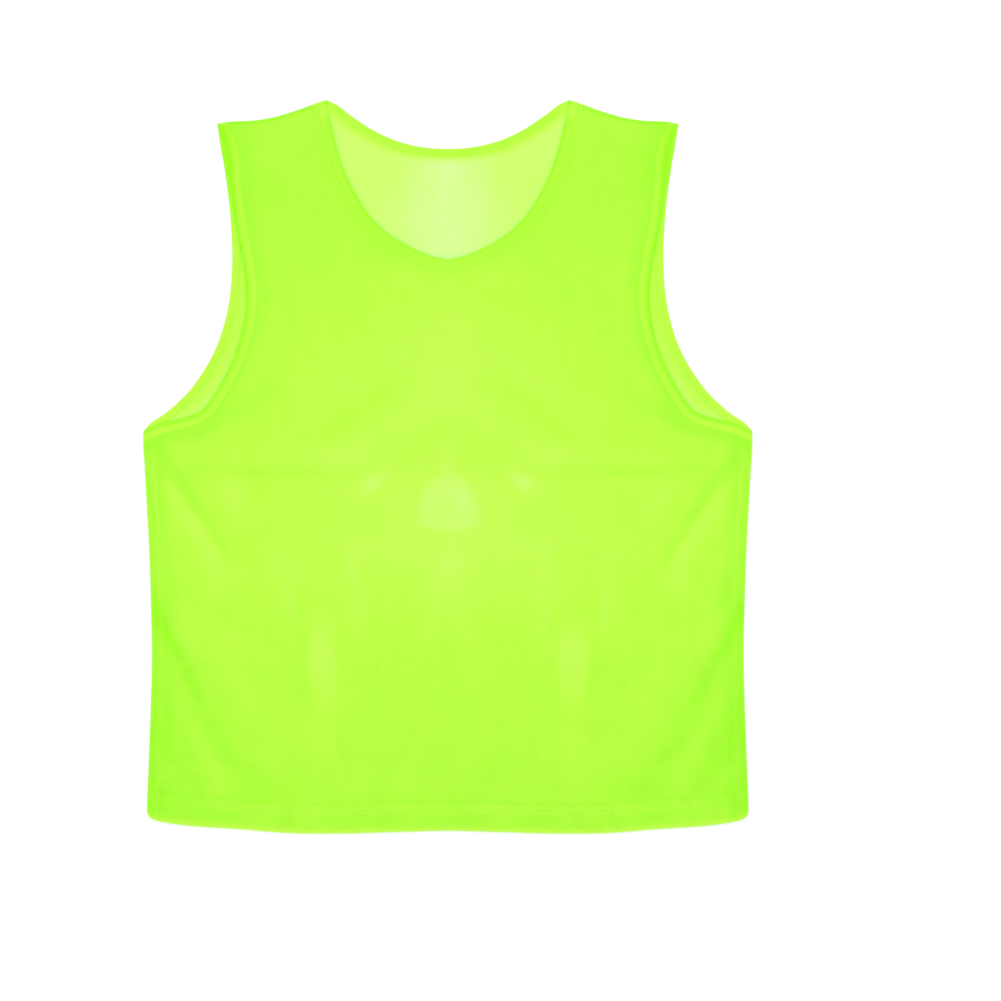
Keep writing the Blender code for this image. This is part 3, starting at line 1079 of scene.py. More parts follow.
def new_material(name: str) -> tuple[bpy.types.Material, Wiring, Node]:
    """Starts a material.

    Args:
        name: Its name.

    Returns:
        The material, its wiring and its shader.
    """
    made = bpy.data.materials.new(name)
    made.use_nodes = True
    return made, Wiring(made.node_tree), made.node_tree.nodes["Principled BSDF"]


def linked(name: str, data: bpy.types.ID) -> bpy.types.Object:
    """Makes an object and links it to the scene.

    Args:
        name: Its name.
        data: Its mesh, light or camera.

    Returns:
        The object, at the origin.
    """
    made = bpy.data.objects.new(name, data)
    bpy.context.scene.collection.objects.link(made)
    return made


class SharedPatterns:
    """Shader node groups that several finishes place with their own values.

    The edge of a hole runs between two shares of its radius, and the yarn's height
    is a base with waves for the wales and for the courses, so many to a hole.
    """

    HOLE_EDGE = (0.65, 1.35)
    WALES = 4.0
    COURSES = 2.0
    YARN_BASE = 0.74
    WALE_RISE = 0.16
    COURSE_RISE = 0.10

    @staticmethod
    def _group(name: str, inputs: Sequence[str], outputs: Sequence[str]) -> tuple:
        """Starts a node group.

        Args:
            name: The group's name.
            inputs: Names of the inputs: Place is a vector, the others are numbers.
            outputs: Names of the number outputs.

        Returns:
            The wiring, the input node's sockets and the output node.
        """
        tree = bpy.data.node_groups.new(name, "ShaderNodeTree")
        for label in inputs:
            kind = "NodeSocketVector" if label == "Place" else "NodeSocketFloat"
            tree.interface.new_socket(label, in_out="INPUT", socket_type=kind)
        for label in outputs:
            tree.interface.new_socket(label, in_out="OUTPUT", socket_type="NodeSocketFloat")
        wire = Wiring(tree)
        return wire, wire.node("NodeGroupInput").outputs, wire.node("NodeGroupOutput")

    @classmethod
    def knit(cls) -> bpy.types.NodeTree:
        """Makes the fine mesh knit: staggered round holes between wales.

        Returns:
            A group with Place, Across, Along and Hole inputs in millimetres, which
            puts out the Hole mask and the yarn's Height.
        """
        found = bpy.data.node_groups.get("Fine mesh knit")
        if found:
            return found
        names = ("Place", "Across", "Along", "Hole")
        wire, given, result = cls._group("Fine mesh knit", names, ("Hole", "Height"))
        wander = wire.noise(given["Place"], DRIFT_SCALE, 0.0, "Color")
        drift = wire.node("ShaderNodeVectorMath", {0: wander, "Scale": DRIFT}, operation="SCALE")
        drawn = wire.node("ShaderNodeVectorMath", {0: given["Place"], 1: drift.outputs[0]},
                          operation="ADD")
        split = wire.node("ShaderNodeSeparateXYZ", {0: drawn.outputs[0]}).outputs
        across, along = (
            wire.math("DIVIDE", wire.math("MULTIPLY", split[axis], 1.0 / MM), given[pitch])
            for axis, pitch in enumerate(("Across", "Along"))
        )
        odd = wire.math("FLOORED_MODULO", wire.math("FLOOR", along), 2.0)
        shifted = wire.math("ADD", across, wire.math("MULTIPLY", odd, 0.5))
        offsets = []
        for cell, pitch in ((shifted, "Across"), (along, "Along")):
            centred = wire.math("SUBTRACT", wire.math("FRACT", cell), 0.5)
            offsets.append(wire.math("MULTIPLY", centred, given[pitch]))
        squares = [wire.math("MULTIPLY", offset, offset) for offset in offsets]
        radius = wire.math("SQRT", wire.math("ADD", *squares))
        inner, outer = (wire.math("MULTIPLY", given["Hole"], share) for share in cls.HOLE_EDGE)
        hole = wire.remap(radius, inner, outer, 1.0, 0.0)
        waves = []
        for cell, count, rise in ((across, cls.WALES, cls.WALE_RISE),
                                  (along, cls.COURSES, cls.COURSE_RISE)):
            wave = wire.math("COSINE", wire.math("MULTIPLY", cell, count * math.tau))
            waves.append(wire.math("MULTIPLY", wave, rise))
        yarn = wire.math("ADD", wire.math("ADD", *waves), cls.YARN_BASE)
        height = wire.math("MULTIPLY", yarn, wire.math("SUBTRACT", 1.0, hole))
        wire.fill(result, {"Hole": hole, "Height": height})
        return wire.tree

    @classmethod
    def line(cls) -> bpy.types.NodeTree:
        """Makes a soft line at a set distance from an edge.

        Returns:
            A group with Distance, Centre and Half inputs that puts out a Mask.
        """
        found = bpy.data.node_groups.get("Seam line")
        if found:
            return found
        names = ("Distance", "Centre", "Half")
        wire, given, result = cls._group("Seam line", names, ("Mask",))
        away = wire.math("ABSOLUTE", wire.math("SUBTRACT", given["Distance"], given["Centre"]))
        wire.fill(result, {"Mask": wire.remap(away, 0.0, given["Half"], 1.0, 0.0)})
        return wire.tree


@dataclass(frozen=True)
class ClothFinish:
    """Neon mesh cloth: its tone goes from deep, where layers lie close, to pale, and also
    carries painted highlights and shade.

    The three shades take off the tone: painted shadow just over the hem's top, a deeper
    band along the sides, and patches along the middle of the doubled hem.
    """

    name: str
    across: float = 1.8
    along: float = 0.9
    hole: float = 0.34
    openness: float = 0.5
    veil: float = 0.35
    roughness: float = 0.5
    rougher_holes: float = 0.15
    bump: float = 0.5
    sheen: float = 0.03
    sheen_roughness: float = 0.5
    specular: float = 0.12
    seams: bool = True
    hem_top_shadow: float = 0.03
    hem_fades: tuple[float, float] = (HEM_DEPTH + 3.0, HEM_DEPTH + 20.0)
    side_shade: float = 0.09
    side_fades: tuple[float, float] = (13.0, 24.0)
    patch_shade: float = 0.10
    patch_stretch: tuple[float, float, float] = (1.0, 2.6, 1.0)
    patch_scale: float = 26.0
    patch_edge: tuple[float, float] = (0.42, 0.58)
    hem_middle: float = 11.5
    hem_bulge: float = 7.0

    def material(self) -> bpy.types.Material:
        """Builds the material.

        Returns:
            The material, which reads the mesh's tone and edge distances.
        """
        made, wire, shader = new_material(self.name)
        place = wire.object_place()
        sizes = {"Place": place, "Across": self.across, "Along": self.along, "Hole": self.hole}
        knit = wire.node("ShaderNodeGroup", sizes, node_tree=SharedPatterns.knit()).outputs
        tone = wire.attribute("tone")
        streaked = wire.stretched(place, STREAK_STRETCH)
        for source, (scale, detail, amount) in zip((place, streaked, place), CLOUDS):
            drift = wire.math("SUBTRACT", wire.noise(source, scale, detail), 0.5)
            tone = wire.math("ADD", tone, wire.math("MULTIPLY", drift, amount))
        relief = wire.math("MULTIPLY", knit["Height"], KNIT_RELIEF)
        if self.seams:
            for line in SEAM_LINES:
                mask = self._line(wire, line)
                tone = wire.math("ADD", tone, wire.math("MULTIPLY", mask, line.tone))
                groove = wire.math("MULTIPLY", mask, line.relief * SEAM_RELIEF)
                relief = wire.math("ADD", relief, groove)
            tone = wire.math("SUBTRACT", tone, self._hem_shadow_and_deeper_cloth(wire, place))
        low, high = TONE_RANGE
        share = wire.math("DIVIDE", wire.math("SUBTRACT", tone, low), high - low)
        stops = [((place - low) / (high - low), colour) for place, colour in TONE_COLOURS]
        rough = (self.roughness + self.rougher_holes, self.roughness)
        wire.fill(shader, {
            "Base Color": wire.ramp(share, stops),
            "Roughness": wire.remap(knit["Height"], 0.0, 1.0, *rough),
            "Normal": wire.bump(relief, self.bump, 1.0),
            "Alpha": self._cover(wire, knit["Hole"]),
            "Sheen Weight": self.sheen,
            "Sheen Roughness": self.sheen_roughness,
            "Specular IOR Level": self.specular,
        })
        return made

    @staticmethod
    def _line(wire: Wiring, line: SeamLine) -> Socket:
        """Draws one line along an edge.

        Args:
            wire: The material's tree.
            line: The line.

        Returns:
            Its mask.
        """
        inputs = {"Distance": wire.attribute(line.measure), "Centre": line.centre,
                  "Half": line.half}
        placed = wire.node("ShaderNodeGroup", inputs, node_tree=SharedPatterns.line())
        return placed.outputs["Mask"]

    def _hem_shadow_and_deeper_cloth(self, wire: Wiring, place: Socket) -> Socket:
        """Deepens the tone: painted shadow just over the hem's top, a deeper band along the
        sides, and random patches inside the doubled hem.

        Args:
            wire: The material's tree.
            place: Place on the object.

        Returns:
            How much tone is lost.
        """
        from_hem = wire.attribute("from_hem")
        # Painted shadow just over the top of the hem
        hem = wire.remap(from_hem, *self.hem_fades, self.hem_top_shadow, 0.0)
        side = wire.remap(wire.attribute("from_side"), *self.side_fades, self.side_shade, 0.0)
        wander = wire.noise(wire.stretched(place, self.patch_stretch), self.patch_scale, 1.0)
        off_middle = wire.math("ABSOLUTE", wire.math("SUBTRACT", from_hem, self.hem_middle))
        bulge = wire.remap(off_middle, 0.0, self.hem_bulge, 1.0, 0.0)
        patchy = wire.remap(wander, *self.patch_edge, 0.0, self.patch_shade)
        return wire.math("ADD", wire.math("MULTIPLY", bulge, patchy), wire.math("ADD", hem, side))

    def _cover(self, wire: Wiring, hole: Socket) -> Socket:
        """Opens the holes, and lets some light pass the yarn to what lies under it.

        Args:
            wire: The material's tree.
            hole: The mask of the holes.

        Returns:
            The cloth's alpha.
        """
        solid = wire.math("SUBTRACT", 1.0, wire.math("MULTIPLY", hole, self.openness))
        shadow = wire.node("ShaderNodeLightPath").outputs["Is Shadow Ray"]
        passed = wire.math("SUBTRACT", 1.0, wire.math("MULTIPLY", shadow, self.veil))
        return wire.math("MULTIPLY", solid, passed)


@dataclass(frozen=True)
class ThreadFinish:
    """Polyester sewing thread of the cloth's colour; its pale and deep copies are painted
    light and painted shade on the same thread.
    """

    name: str
    dark: tuple[float, float, float]
    light: tuple[float, float, float]
    grain: float = 420.0
    twist: float = 900.0
    relief: float = 0.00008
    bump: float = 0.4
    tone_edge: tuple[float, float] = (0.3, 0.7)
    roughness: tuple[float, float] = (0.38, 0.5)

    def material(self) -> bpy.types.Material:
        """Builds the material.

        Returns:
            The material, with a slight change of tone along the thread.
        """
        made, wire, shader = new_material(self.name)
        place = wire.object_place()
        tone = wire.noise(place, self.grain, 1.0)
        waves = {"Vector": place, "Scale": self.twist}
        twist = wire.node("ShaderNodeTexWave", waves, bands_direction="DIAGONAL")
        colours = tuple(zip(self.tone_edge, (self.dark, self.light)))
        wire.fill(shader, {
            "Base Color": wire.ramp(tone, colours),
            "Roughness": wire.remap(tone, 0.0, 1.0, *self.roughness),
            "Normal": wire.bump(twist.outputs["Fac"], self.bump, self.relief),
        })
        return made


def to_world(points: Array, heights: Array) -> Array:
    """Turns plan points and heights into vertices in metres about the origin.

    Args:
        points: Plan points.
        heights: Heights over the floor.

    Returns:
        An array of vertices.
    """
    centred = points - np.array((0.0, BODY_LENGTH / 2.0))
    return np.column_stack((centred, heights)) * MM


def add_piece(
    name: str,
    vertices: Array,
    faces: Sequence[Sequence[int]],
    material: bpy.types.Material,
    numbers: dict[str, Array],
) -> bpy.types.Object:
    """Makes a smooth object with numbers stored at its vertices.

    Args:
        name: The object's name.
        vertices: Vertices in metres.
        faces: Vertex numbers of each face.
        material: The object's material.
        numbers: Values to store, by name, one for each vertex.

    Returns:
        The object, at the origin.
    """
    mesh = bpy.data.meshes.new(name)
    mesh.from_pydata([tuple(vertex) for vertex in vertices], [], faces)
    mesh.materials.append(material)
    mesh.shade_smooth()
    mesh.set_sharp_from_angle(angle=math.radians(SHARP_ANGLE))
    for label, values in numbers.items():
        stored = mesh.attributes.new(label, "FLOAT", "POINT")
        stored.data.foreach_set("value", np.asarray(values, dtype=np.float32))
    return linked(name, mesh)


@dataclass
class Panel:
    """A panel of mesh cloth: a thin closed shell over a plan outline."""

    layer: Layer
    form: Union[BackForm, FrontForm]
    cut: GarmentCut
    finish: ClothFinish
    spacing: float
    inset: float = 0.8
    seam_rows: tuple[float, ...] = (1.1, 2.4)
    clearance: float = 0.6
    merged_within: float = 0.01

    def build(self) -> bpy.types.Object:
        """Makes the panel.

        Returns:
            The panel's object.
        """
        outline, guides = self.cut.outline(self.layer, self.inset)
        plan, triangles = self._divide(outline, guides + self._rows_by_seams(outline))
        upper = self.form.mid(plan) + half_thickness(plan)
        total = len(plan)
        vertices = np.vstack((to_world(plan, upper), to_world(plan, self.form.lower(plan))))
        faces = [list(face) for face in triangles]
        faces += [[index + total for index in reversed(face)] for face in triangles]
        directed = {(face[i], face[(i + 1) % 3]) for face in triangles for i in range(3)}
        for start, end in sorted(directed):
            if (end, start) not in directed:
                faces.append([start + total, end + total, end, start])
        numbers = {name: np.tile(values, 2) for name, values in self._numbers(plan).items()}
        name = self.layer.value + "_cloth"
        made = add_piece(name, vertices, faces, self.finish.material(), numbers)
        LOG.info("%s: %d faces", made.name, len(faces))
        return made

    def _rows_by_seams(self, outline: Array) -> list[Array]:
        """Adds rows of points close inside the seam edges, where the cloth turns down.

        Args:
            outline: The panel's outline.

        Returns:
            The rows that lie inside the outline.
        """
        rows = []
        for table in (SHOULDER[1:-1], SIDE[1:], HEM[:-1]):
            curve = smooth_curve(table, self.spacing)
            for depth in self.seam_rows:
                row = curve + inward_of(curve) * depth
                rows += both_halves([row[inside_of(row, outline)]])
        return rows

    def _divide(self, outline: Array, guides: list[Array]) -> tuple[Array, list[list[int]]]:
        """Divides the outline into triangles over a staggered lattice.

        Args:
            outline: The panel's outline.
            guides: Rows of points that the triangles follow.

        Returns:
            The plan points, and the triangles with their upper side outwards.
        """
        count = len(outline)
        edges = [(index, (index + 1) % count) for index in range(count)]
        edges += chain_edges(guides, count)
        points = np.vstack([outline] + guides + [self._lattice(outline, guides)])
        found = delaunay_2d_cdt([tuple(point) for point in points], edges, [], 1,
                                self.merged_within)
        plan = np.array([tuple(point) for point in found[0]])
        corners = np.array([list(face) for face in found[2]])
        a, b, c = (plan[corners[:, k]] for k in range(3))
        turn = (b[:, 0] - a[:, 0]) * (c[:, 1] - a[:, 1]) - (b[:, 1] - a[:, 1]) * (c[:, 0] - a[:, 0])
        corners[turn < 0.0] = corners[turn < 0.0][:, ::-1]
        return plan, corners.tolist()

    def _lattice(self, outline: Array, guides: list[Array]) -> Array:
        """Lays staggered points inside the outline, clear of it and of the guides.

        Args:
            outline: The panel's outline.
            guides: Rows of points to keep clear of.

        Returns:
            The points.
        """
        pitch = self.spacing * math.sqrt(0.75)
        rows = np.arange(1, int(BODY_LENGTH / pitch) + 1)
        reach = int(HALF_CHEST / self.spacing) + 1
        columns = np.arange(-reach, reach)
        across, up = np.meshgrid(columns.astype(float), rows.astype(float))
        across += 0.5 * (up % 2)
        points = np.column_stack((across.ravel() * self.spacing, up.ravel() * pitch))
        points = points[inside_of(points, outline)]
        closed = np.vstack((outline, outline[:1]))
        gap = distance_to(points, [closed] + guides)
        return points[gap > self.clearance * self.spacing]

    def _numbers(self, plan: Array) -> dict[str, Array]:
        """Works out what the material reads at each plan point.

        Args:
            plan: Plan points.

        Returns:
            Tone, and distances from the side, the shoulder and the hem.
        """
        return {
            "tone": self._tone(plan),
            "from_side": distance_to(plan, self.cut.sides()),
            "from_shoulder": distance_to(plan, self.cut.shoulders()),
            "from_hem": above_hem(plan),
        }

    def _tone(self, plan: Array) -> Array:
        """Says how pale the panel is at plan points."""
        return self._front_tone(plan) if self.layer is Layer.FRONT else self._back_tone(plan)

    def _back_tone(self, plan: Array) -> Array:
        """Says how pale the back is: it is painted palest where the front doesn't cover it,
        for light through its mesh, with painted glows and painted shadow under its binding.

        Args:
            plan: Plan points.

        Returns:
            Tone from 0 to 1.
        """
        outline, _ = self.cut.outline(Layer.FRONT, 0.0)
        gap = distance_to(plan, [np.vstack((outline, outline[:1]))])
        covered = inside_of(plan, outline) * smoothstep(*COVER_REACH, gap)
        up = plan[:, 1]
        width = GLOW_WIDTH - GLOW_NARROWING * smoothstep(*GLOW_NARROWS, up)
        band = self.cut.neck[Layer.BACK].whole().inner_row()
        under_band = np.exp(-((distance_to(plan, [band]) / BAND_REACH) ** 2))
        # Painted paler in the neck for light through the mesh, with a painted glow in its middle,
        # and painted shadow just under the back neck binding
        in_neck = NECK_TONE + NECK_GLOW * np.exp(-((plan[:, 0] / width) ** 2))
        in_neck -= BAND_SHADE * under_band
        # Painted glow on the back beside the front's armhole edge, fading upwards
        glow = ARM_GLOW * (1.0 - smoothstep(*ARM_GLOW_FADES, up))
        by_arm = ARM_TONE + glow * np.exp(-((gap / ARM_GLOW_REACH) ** 2))
        bare = np.where(np.abs(plan[:, 0]) < NECK_SPAN, in_neck, by_arm)
        return bare + (COVERED_TONE - bare) * covered

    def _front_tone(self, plan: Array) -> Array:
        """Says how pale the front is: painted highlights and shade for its folds and creases,
        and painted shade beside its bindings.

        Args:
            plan: Plan points.

        Returns:
            Tone from 0 to 1.
        """
        tone = FRONT_TONE + patch_tone(plan, MIDDLE_PATCHES + on_both_sides(SIDE_PATCHES))
        for crease in all_creases():
            tone += crease_tone(plan, crease)
        bound = self.cut.bound(Layer.FRONT)
        # Painted shade just inside the armhole and neck bindings
        tone -= ARM_SHADE * (1.0 - smoothstep(*ARM_SHADE_REACH, distance_to(plan, bound[1::2])))
        tone -= NECK_SHADE * (1.0 - smoothstep(*NECK_SHADE_REACH, distance_to(plan, bound[0::2])))
        return np.clip(tone, *TONE_RANGE)


@dataclass
class Binding:
    """A strip of cloth folded over a raw edge and sewn through.

    Its face drops towards the inner edge from one share of the width on, is drawn in
    along its stitches, and gathers in slight waves that drift and slant a little.
    """

    name: str
    run: EdgeRun
    form: Union[BackForm, FrontForm]
    finish: ClothFinish
    tones: Tones
    stitch_lines: tuple[float, ...]
    top_rows: int = 16
    turn_rows: int = 6
    crown_drop: float = 0.55
    crown_from: float = 0.72
    groove: float = 0.30
    groove_half: float = 0.9
    stitch_rise: float = 0.12
    underside: tuple[float, float] = (0.8, 0.4)
    gather: float = 0.06
    gather_length: float = 7.5
    gather_drift: tuple[float, float] = (1.3, 23.0)
    gather_slant: float = 0.4
    gather_from: tuple[float, float] = (1.5, 5.0)

    def section(self) -> list[tuple[float, float, float]]:
        """Lays out the folded strip's cross-section.

        Returns:
            Rows of (share of the width, extra depth, height from the middle), from
            the underside round the fold to the inner edge and back.
        """
        half = BINDING_HALF
        turn = [math.pi * index / self.turn_rows for index in range(self.turn_rows)]
        rows = [(0.0, half * (1.0 - math.sin(angle)), -half * math.cos(angle)) for angle in turn]
        shares = np.linspace(0.0, 1.0, self.top_rows)
        rows += [(share, half * (1.0 - share), height)
                 for share, height in zip(shares, self._crown(shares))]
        return rows + [(1.0, 0.0, -SHEET_HALF)] + [(share, 0.0, -half) for share in self.underside]

    def _crown(self, share: Array) -> Array:
        """Gives the height of the face, which drops towards its inner edge."""
        drop = self.crown_drop * smoothstep(self.crown_from, 1.0, share)
        return BINDING_HALF * (1.0 - drop)

    def build(self) -> bpy.types.Object:
        """Makes the strip.

        Returns:
            The strip's object.
        """
        travelled = travelled_along(self.run.curve)
        shares, amounts = zip(*self.tones)
        patches = BINDING_PATCHES + on_both_sides(BINDING_SIDE_PATCHES)
        rows = []
        tones = []
        for share, extra, height in self.section():
            depth = share * self.run.widths + extra
            plan = self.run.curve + self.run.inward * depth[:, None]
            if height > 0.0:
                height = height - self._sunk(depth) + self._pucker(travelled, depth)
            rows.append(to_world(plan, self.form.mid(plan) + height))
            tone = np.interp(depth / self.run.widths, shares, amounts)
            tones.append(tone + patch_tone(plan, patches))
        size = len(rows)
        count = len(travelled)
        vertices = np.stack(rows, axis=1).reshape(-1, 3)
        faces = []
        for first in range(0, (count - 1) * size, size):
            for index in range(size):
                a, b = first + index, first + (index + 1) % size
                faces.append([a, b, b + size, a + size])
        faces.append(list(range(size))[::-1])
        faces.append(list(range((count - 1) * size, count * size)))
        numbers = {"tone": np.clip(np.stack(tones, axis=1).ravel(), *TONE_RANGE)}
        made = add_piece(self.name, vertices, faces, self.finish.material(), numbers)
        LOG.info("%s: %d faces, %.0f mm long", made.name, len(faces), travelled[-1])
        return made

    def _sunk(self, depth: Array) -> Array:
        """Says how deep the face is drawn in by the lines of stitches.

        Args:
            depth: Depth from the edge at each station.

        Returns:
            How much lower the face lies.
        """
        total = np.zeros(len(depth))
        for line in self.stitch_lines:
            away = (depth - (self.run.widths - line)) / self.groove_half
            total += self.groove * np.exp(-(away ** 2))
        return total

    def _pucker(self, travelled: Array, depth: Array) -> Array:
        """Gathers the face slightly along its length, away from the fold.

        Args:
            travelled: Distance run along the edge at each station.
            depth: Depth from the edge there.

        Returns:
            How much higher the face lies.
        """
        drift, drift_length = self.gather_drift
        phase = travelled * math.tau / self.gather_length + drift * np.sin(travelled / drift_length)
        waves = np.sin(phase + self.gather_slant * depth)
        return self.gather * waves * smoothstep(*self.gather_from, depth)

    def stitch_paths(self) -> list[Array]:
        """Gives the line that each row of stitches follows on the strip's face.

        Returns:
            One path in metres for each row.
        """
        paths = []
        for line in self.stitch_lines:
            plan = self.run.inner_row(-line)
            crown = self._crown(1.0 - line / self.run.widths)
            height = self.form.mid(plan) + crown - self.groove + self.stitch_rise
            paths.append(to_world(plan, height))
        return paths


class StitchTree:
    """Geometry Nodes that lay a row of stitches along a line."""

    NAME = "Row of stitches"
    UNEVEN = (0.88, 1.1)

    @classmethod
    def tree(cls) -> bpy.types.NodeTree:
        """Builds the tree once.

        Returns:
            The node tree.
        """
        found = bpy.data.node_groups.get(cls.NAME)
        if found:
            return found
        tree = bpy.data.node_groups.new(cls.NAME, "GeometryNodeTree")
        inputs = {"Line": "Geometry", "Pitch": "Float", "Length": "Float", "Thickness": "Float",
                  "Seed": "Int", "Thread": "Material"}
        for label, kind in inputs.items():
            tree.interface.new_socket(label, in_out="INPUT", socket_type="NodeSocket" + kind)
        tree.interface.new_socket("Stitches", in_out="OUTPUT", socket_type="NodeSocketGeometry")
        wire = Wiring(tree)
        given = wire.node("NodeGroupInput").outputs
        result = wire.node("NodeGroupOutput")
        curve = wire.node("GeometryNodeMeshToCurve", {"Mesh": given["Line"]})
        steps = {"Curve": curve.outputs["Curve"], "Length": given["Pitch"]}
        spaced = wire.node("GeometryNodeResampleCurve", steps, mode="LENGTH")
        bead = wire.node("GeometryNodeMeshUVSphere", {"Segments": 6, "Rings": 4, "Radius": 0.5})
        sizes = {0: given["Length"], 1: given["Thickness"], 2: given["Thickness"]}
        size = wire.node("ShaderNodeCombineXYZ", sizes)
        stitch = wire.node("GeometryNodeTransform", {
            "Geometry": bead.outputs["Mesh"], "Scale": size.outputs[0]})
        tangent = wire.node("GeometryNodeInputTangent")
        turned = wire.node("FunctionNodeAlignRotationToVector", {"Vector": tangent.outputs[0]},
                           axis="X")
        least, most = cls.UNEVEN
        uneven = wire.node("FunctionNodeRandomValue", {2: least, 3: most, "Seed": given["Seed"]},
                           data_type="FLOAT")
        laid = wire.node("GeometryNodeInstanceOnPoints", {
            "Points": spaced.outputs["Curve"], "Instance": stitch.outputs["Geometry"],
            "Rotation": turned.outputs["Rotation"], "Scale": uneven.outputs[1]})
        real = wire.node("GeometryNodeRealizeInstances", {"Geometry": laid.outputs["Instances"]})
        smooth = wire.node("GeometryNodeSetShadeSmooth", {"Geometry": real.outputs["Geometry"]})
        dressed = wire.node("GeometryNodeSetMaterial", {
            "Geometry": smooth.outputs["Geometry"], "Material": given["Thread"]})
        wire.fill(result, {"Stitches": dressed.outputs["Geometry"]})
        return tree


@dataclass
class StitchRows:
    """Rows of stitches sewn along some lines of one seam."""

    name: str
    paths: list[Array]
    thread: bpy.types.Material
    pitch: float = 3.0
    length: float = 2.4
    thickness: float = 0.42
    seed: int = 7

    def build(self) -> bpy.types.Object:
        """Lays the stitches by Geometry Nodes and makes them a plain mesh.

        Returns:
            The stitches' object.
        """
        vertices = np.vstack(self.paths)
        line = bpy.data.meshes.new(self.name + "_line")
        edges = chain_edges(self.paths)
        line.from_pydata([tuple(vertex) for vertex in vertices], edges, [])
        guide = linked(line.name, line)
        tree = StitchTree.tree()
        modifier = guide.modifiers.new("stitches", "NODES")
        modifier.node_group = tree
        values = {"Pitch": self.pitch * MM, "Length": self.length * MM,
                  "Thickness": self.thickness * MM, "Seed": self.seed, "Thread": self.thread}
        for item in tree.interface.items_tree:
            if item.item_type == "SOCKET" and item.in_out == "INPUT" and item.name in values:
                modifier[item.identifier] = values[item.name]
        graph = bpy.context.evaluated_depsgraph_get()
        mesh = bpy.data.meshes.new_from_object(guide.evaluated_get(graph), depsgraph=graph)
        guide.modifiers.remove(modifier)
        bpy.data.objects.remove(guide, do_unlink=True)
        mesh.name = self.name
        made = linked(self.name, mesh)
        LOG.info("%s: %d faces", made.name, len(mesh.polygons))
        return made


@dataclass(frozen=True)
class LayerPlan:
    """How one layer is divided, bound and sewn, and the area of its cut."""

    spacing: float
    area: float
    rests_on: str
    neck_tones: Tones
    arm_tones: Tones
    neck_stitches: tuple[float, ...]
    neck_thread: str


@dataclass
class Studio:
    """The pale floor, the soft lights and the camera straight above."""

    LIGHTS = (("key", (0.1, 1.2, 1.7), 15.0), ("fill", (-0.9, -0.9, 1.6), 4.0))

    light_size: float = 1.6
    surround: float = 0.95
    floor_tone: float = 0.93
    frame_width: float = 887.3
    aim: tuple[float, float] = (46.7, -30.1)
    lens: float = 100.0
    floor_size: float = 9.0
    floor_roughness: float = 0.9
    floor_specular: float = 0.1

    def build(self) -> None:
        """Makes the floor, lights, world and camera."""
        self._floor()
        self._world()
        for name, place, power in self.LIGHTS:
            self._light(name, place, power)
        self._camera()
        bpy.context.scene.view_settings.view_transform = "Standard"

    def _floor(self) -> None:
        """Lays a pale floor under the garment."""
        half = self.floor_size / 2.0
        corners = [(-half, -half, 0.0), (half, -half, 0.0), (half, half, 0.0), (-half, half, 0.0)]
        mesh = bpy.data.meshes.new("floor")
        mesh.from_pydata(corners, [], [(0, 1, 2, 3)])
        paint, wire, shader = new_material("pale_floor")
        wire.fill(shader, {
            "Base Color": (self.floor_tone, self.floor_tone, self.floor_tone, 1.0),
            "Roughness": self.floor_roughness,
            "Specular IOR Level": self.floor_specular,
        })
        mesh.materials.append(paint)
        linked("floor", mesh)

    def _world(self) -> None:
        """Lights the scene evenly from all round."""
        world = bpy.data.worlds.new("studio")
        world.use_nodes = True
        background = world.node_tree.nodes["Background"]
        background.inputs["Color"].default_value = (1.0, 1.0, 1.0, 1.0)
        background.inputs["Strength"].default_value = self.surround
        bpy.context.scene.world = world

    def _light(self, name: str, place: tuple[float, float, float], power: float) -> None:
        """Hangs a square soft light that faces the garment.

        Args:
            name: The light's name.
            place: Where it hangs, in metres.
            power: Its power in watts.
        """
        lamp = bpy.data.lights.new(name, "AREA")
        lamp.size = self.light_size
        lamp.energy = power
        made = linked(name, lamp)
        made.location = place
        made.rotation_euler = (-Vector(place)).to_track_quat("-Z", "Y").to_euler()

    def _camera(self) -> None:
        """Sets the camera straight above, at the distance that frames the photo's width."""
        lens = bpy.data.cameras.new("camera")
        lens.lens = self.lens
        camera = linked("camera", lens)
        away = self.frame_width * MM * self.lens / lens.sensor_width
        camera.location = (self.aim[0] * MM, self.aim[1] * MM, away)
        bpy.context.scene.camera = camera


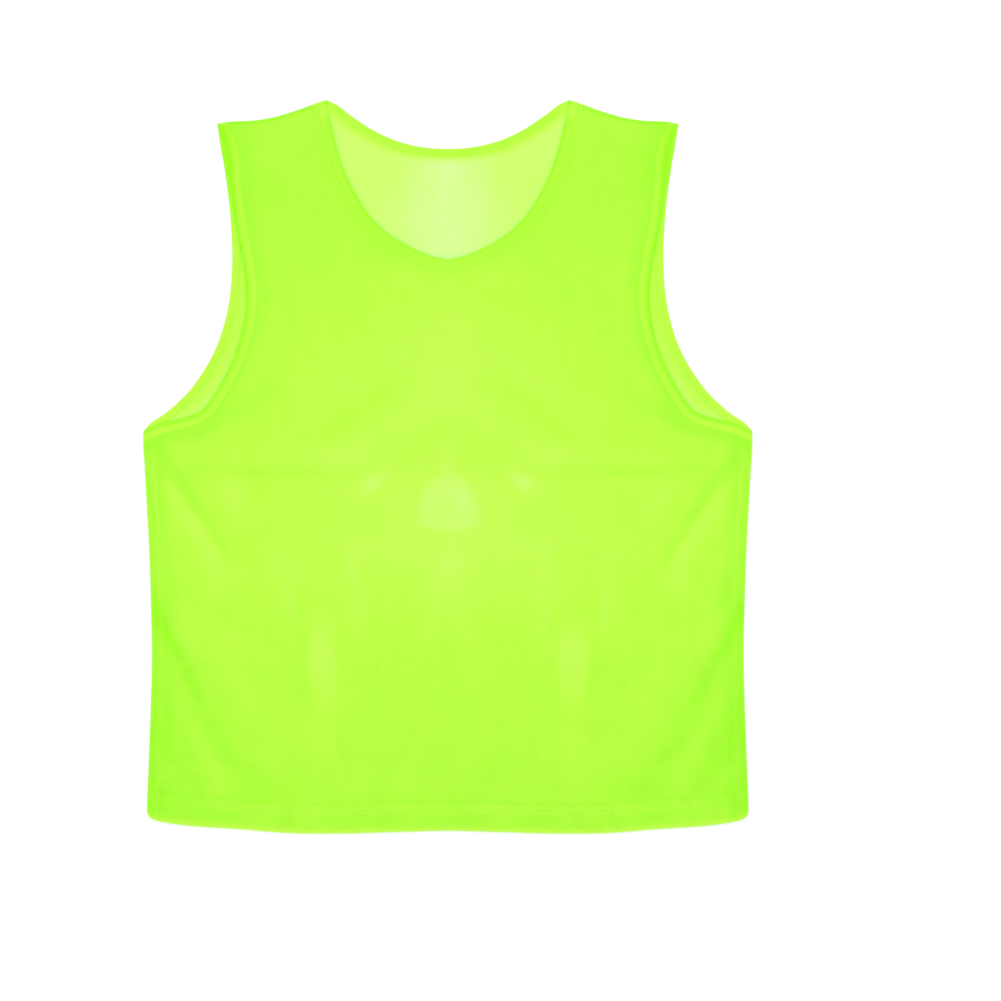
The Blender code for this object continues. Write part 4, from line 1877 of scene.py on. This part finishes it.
class Bib:
    """The whole garment: two panels, six bindings and the sewing."""

    PLANS = {
        Layer.FRONT: LayerPlan(3.0, 0.286, "back_cloth", NECK_TONES, ARMHOLE_TONES, (1.6, 4.6),
                               "pale_thread"),
        Layer.BACK: LayerPlan(3.6, 0.309, "floor", BACK_NECK_TONES, BACK_ARMHOLE_TONES, (1.3,),
                              "deep_thread"),
    }

    def __init__(self) -> None:
        """Draws the cut and chooses the finishes."""
        self.cut = GarmentCut(PANEL_STEP)
        self.fine = GarmentCut(BINDING_STEP)
        back = BackForm(self.cut)
        self.forms = {Layer.FRONT: FrontForm(self.cut, back), Layer.BACK: back}
        self.strip = ClothFinish("binding_cloth", hole=0.28, openness=0.08, seams=False)
        # One thread in two copies: painted pale where its stitches catch the light, painted deep
        # where they lie in shade
        threads = (
            ThreadFinish("pale_thread", (0.40, 0.93, 0.03), (0.47, 0.94, 0.06)),
            ThreadFinish("deep_thread", (0.28, 0.88, 0.012), (0.35, 0.91, 0.025)),
        )
        self.threads = {finish.name: finish.material() for finish in threads}

    def build(self) -> None:
        panels = {}
        for layer, plan in self.PLANS.items():
            finish = ClothFinish(layer.value + "_mesh_cloth")
            panel = Panel(layer, self.forms[layer], self.cut, finish, plan.spacing)
            panels[layer] = panel.build()
        for layer, panel in panels.items():
            self._declare(panel, "mesh_cloth", layer.value + "_panel")
            plan = self.PLANS[layer]
            self._trim(layer)

    def _trim(self, layer: Layer) -> list[bpy.types.Object]:
        """Makes a layer's bindings and the sewing on them and on its hem.

        Args:
            layer: Which layer.

        Returns:
            The pieces.
        """
        name = layer.value
        plan = self.PLANS[layer]
        neck = self.fine.neck[layer].whole()
        right = self.fine.armhole[layer]
        arm_stitches = plan.neck_stitches[:1]
        strips = [
            ("_neck_binding", neck, plan.neck_tones, plan.neck_stitches, plan.neck_thread),
            ("_armhole_binding", right, plan.arm_tones, arm_stitches, "deep_thread"),
            ("_armhole_binding", right.other_side(), plan.arm_tones, arm_stitches, "deep_thread"),
        ]
        pieces = []
        for side, (kind, run, tones, rows, sewn) in zip(("", "right_", "left_"), strips):
            node = side + name + kind
            strip = Binding(node + "_strip", run, self.forms[layer], self.strip, tones, rows)
            made = strip.build()
            self._declare(made, "binding_cloth", node)
            paths = strip.stitch_paths()
            sewing = StitchRows(node + "_stitches", paths, self.threads[sewn]).build()
            self._declare(sewing, "binding_cloth")
            pieces += [made, sewing]
        paths = self._hem_paths(layer)
        hem = StitchRows(name + "_hem_stitches", paths, self.threads["pale_thread"]).build()
        self._declare(hem, "mesh_cloth")
        return pieces + [hem]

    def _hem_paths(self, layer: Layer) -> list[Array]:
        """Gives the two rows of stitches that hold a hem.

        Args:
            layer: Which layer; the back's rows lie on its underside.

        Returns:
            The rows in metres.
        """
        paths = []
        reach = HEM[0].out - HEM_SEWING_END
        across = np.linspace(-reach, reach, HEM_SEWING_POINTS)
        for depth in HEM_STITCHES:
            plan = np.column_stack((across, hem_height(across) + depth))
            face = self.forms[layer].mid(plan) + half_thickness(plan) - HEM_SEWING_SUNK
            height = face if layer is Layer.FRONT else np.full(len(plan), HEM_SEWING_LOW)
            paths.append(to_world(plan, height))
        return paths

    @staticmethod
    def _declare(piece: bpy.types.Object, slot: str, node: str = "") -> None:
        """Rides a piece on the body and hides the CAD node that it stands for, if any.

        Args:
            piece: The piece.
            slot: The record's material slot. Not used.
            node: The CAD node that it replaces, if any.
        """
        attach(piece, BODY)
        if node:
            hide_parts(node)


def main() -> None:
    """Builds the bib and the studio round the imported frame."""
    logging.basicConfig(level=logging.INFO, format="%(message)s")
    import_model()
    Bib().build()
    Studio().build()


if __name__ == "__main__":
    main()
